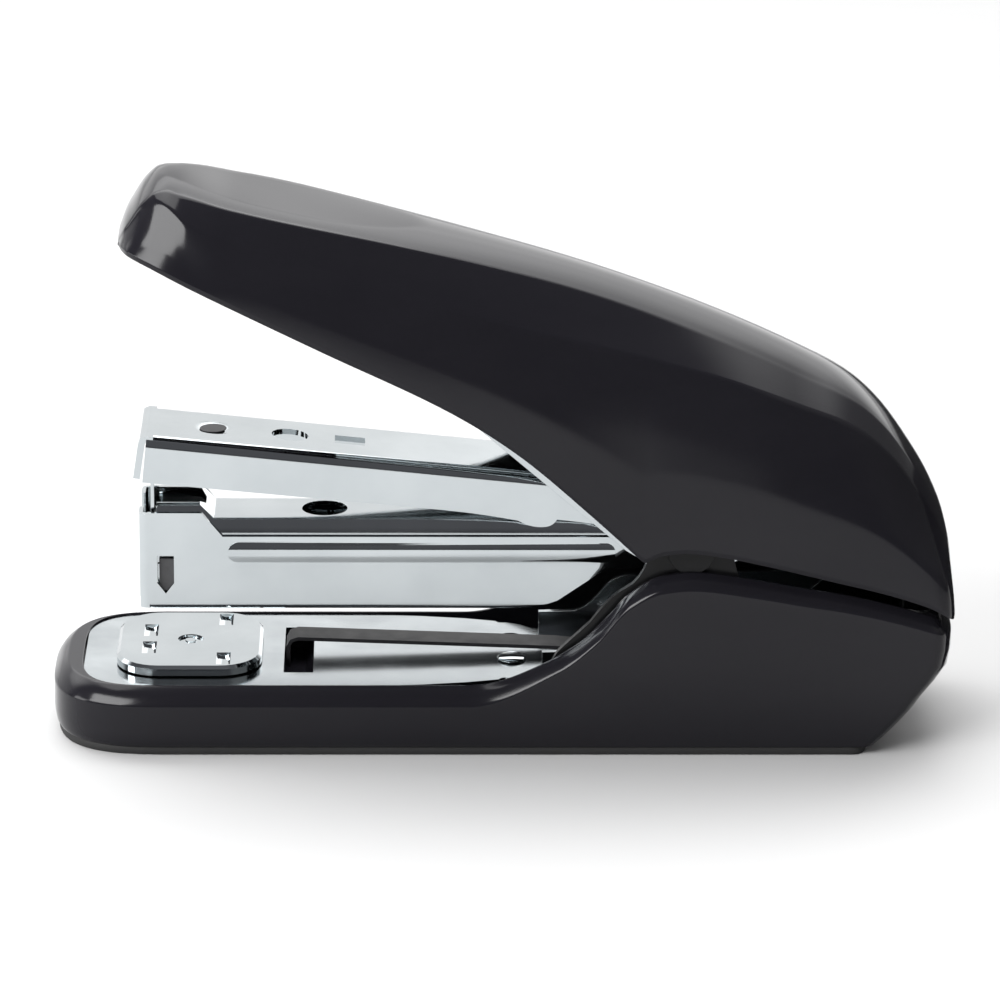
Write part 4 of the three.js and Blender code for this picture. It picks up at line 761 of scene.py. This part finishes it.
def ramp_along(tree, axis, start, end):
    """A value that eases from 0 to 1 as a direction's axis runs from start to end."""
    spread = tree.nodes.new("ShaderNodeMapRange")
    spread.interpolation_type = "SMOOTHSTEP"
    spread.inputs["From Min"].default_value = start
    spread.inputs["From Max"].default_value = end
    tree.links.new(axis, spread.inputs["Value"])
    return spread.outputs["Result"]


def grey_stops(tree, value, stops, tint=(1, 1, 1)):
    """A grey, slightly tinted, that runs through stops (value, brightness)."""
    ramp = tree.nodes.new("ShaderNodeValToRGB")
    ramp.color_ramp.interpolation = "EASE"
    elements = ramp.color_ramp.elements
    while len(elements) < len(stops):
        elements.new(0.5)
    for element, (at, light) in zip(elements, stops):
        element.position = at
        element.color = (*(light * np.array(tint)), 1)
    tree.links.new(value, ramp.inputs["Fac"])
    return ramp.outputs["Color"]


def mixed(tree, factor, first, second):
    """The first colour where the factor is 0, the second where it is 1."""
    mix = tree.nodes.new("ShaderNodeMix")
    mix.data_type = "RGBA"
    tree.links.new(factor, mix.inputs["Factor"])
    tree.links.new(first, mix.inputs["A"])
    tree.links.new(second, mix.inputs["B"])
    return mix.outputs["Result"]


def studio_world():
    """White surroundings behind, brighter higher up, and in front a dim room, darkest near the
    horizon and palest overhead. Beyond the heel it is dim all round. Each brightness runs through
    stops by the upward part of the direction: 0 at the horizon, 1 straight up."""
    world = bpy.data.worlds.new("studio")
    bpy.context.scene.world = world
    world.use_nodes = True
    tree = world.node_tree
    place = tree.nodes.new("ShaderNodeTexCoord")
    axes = tree.nodes.new("ShaderNodeSeparateXYZ")
    tree.links.new(place.outputs["Generated"], axes.inputs["Vector"])
    height = axes.outputs["Z"]
    front = grey_stops(tree, height, [(0, 0.08), (0.24, 0.12), (0.86, 0.12), (1, 0.2)], (0.98, 0.97, 1.04))
    straight = grey_stops(tree, height, [(0, 1.1), (0.37, 1.15), (0.46, 2.6), (0.62, 3.8), (1, 3.8)])
    aslant = grey_stops(tree, height, [(0, 1.9), (0.3, 2.0), (0.46, 2.8), (0.62, 3.8), (1, 3.8)])
    behind = mixed(tree, ramp_along(tree, axes.outputs["X"], 0.03, 0.2), straight, aslant)
    light = mixed(tree, ramp_along(tree, axes.outputs["Y"], 0.14, 0.46), front, behind)
    dim = ramp_along(tree, axes.outputs["X"], 0.42, 0.64)
    right = grey_stops(tree, height, [(0, 0.15), (1, 0.5)])
    tree.links.new(mixed(tree, dim, light, right), tree.nodes["Background"].inputs["Color"])


CAMERA_DISTANCE = 0.8
CAMERA_AZIMUTH = math.radians(-1.5)
CAMERA_ELEVATION = math.radians(18.28)
CAMERA_ROLL = math.radians(0.56)
CAMERA_AIM = Vector((0.0, 0.0, 0.046))
CAMERA_SHIFT = (-0.0024, -0.0526)
SENSOR_WIDTH = 36  # this and the lens in millimetres
LENS_LENGTH = 4.9347 * SENSOR_WIDTH


def studio_camera():
    """Long lens near the height of the handle, looking slightly down along +Y."""
    data = bpy.data.cameras.new("camera")
    camera = bpy.data.objects.new("camera", data)
    bpy.context.scene.collection.objects.link(camera)
    back = Vector((
        math.sin(CAMERA_AZIMUTH) * math.cos(CAMERA_ELEVATION),
        -math.cos(CAMERA_AZIMUTH) * math.cos(CAMERA_ELEVATION),
        math.sin(CAMERA_ELEVATION),
    ))
    camera.location = CAMERA_AIM + back * CAMERA_DISTANCE
    turn = (-back).to_track_quat("-Z", "Y").to_euler()
    turn.rotate_axis("Z", CAMERA_ROLL)
    camera.rotation_euler = turn
    data.sensor_width = SENSOR_WIDTH
    data.lens = LENS_LENGTH
    data.shift_x, data.shift_y = CAMERA_SHIFT
    data.clip_start, data.clip_end = 0.01, 50
    bpy.context.scene.camera = camera


studio_camera()
stage_floor()
dark_card()
studio_world()
softbox("left_softbox", (-0.9, -0.14, 0.26), (-0.05, 0, 0.07), (0.34, 0.34), 2.4)
softbox("overhead_softbox", (-0.1, 0.25, 0.9), (0, 0, 0.03), (0.9, 0.6), 7)
softbox("window", (-0.64, -0.6, 0.63), (-0.055, 0, 0.085), (0.72, 0.38), 11.5)
bpy.context.scene.view_settings.view_transform = "Standard"

handle_cover()
base_housing()
base_sole()
dress_metal({"handle_cover", "base_housing", "base_sole"})
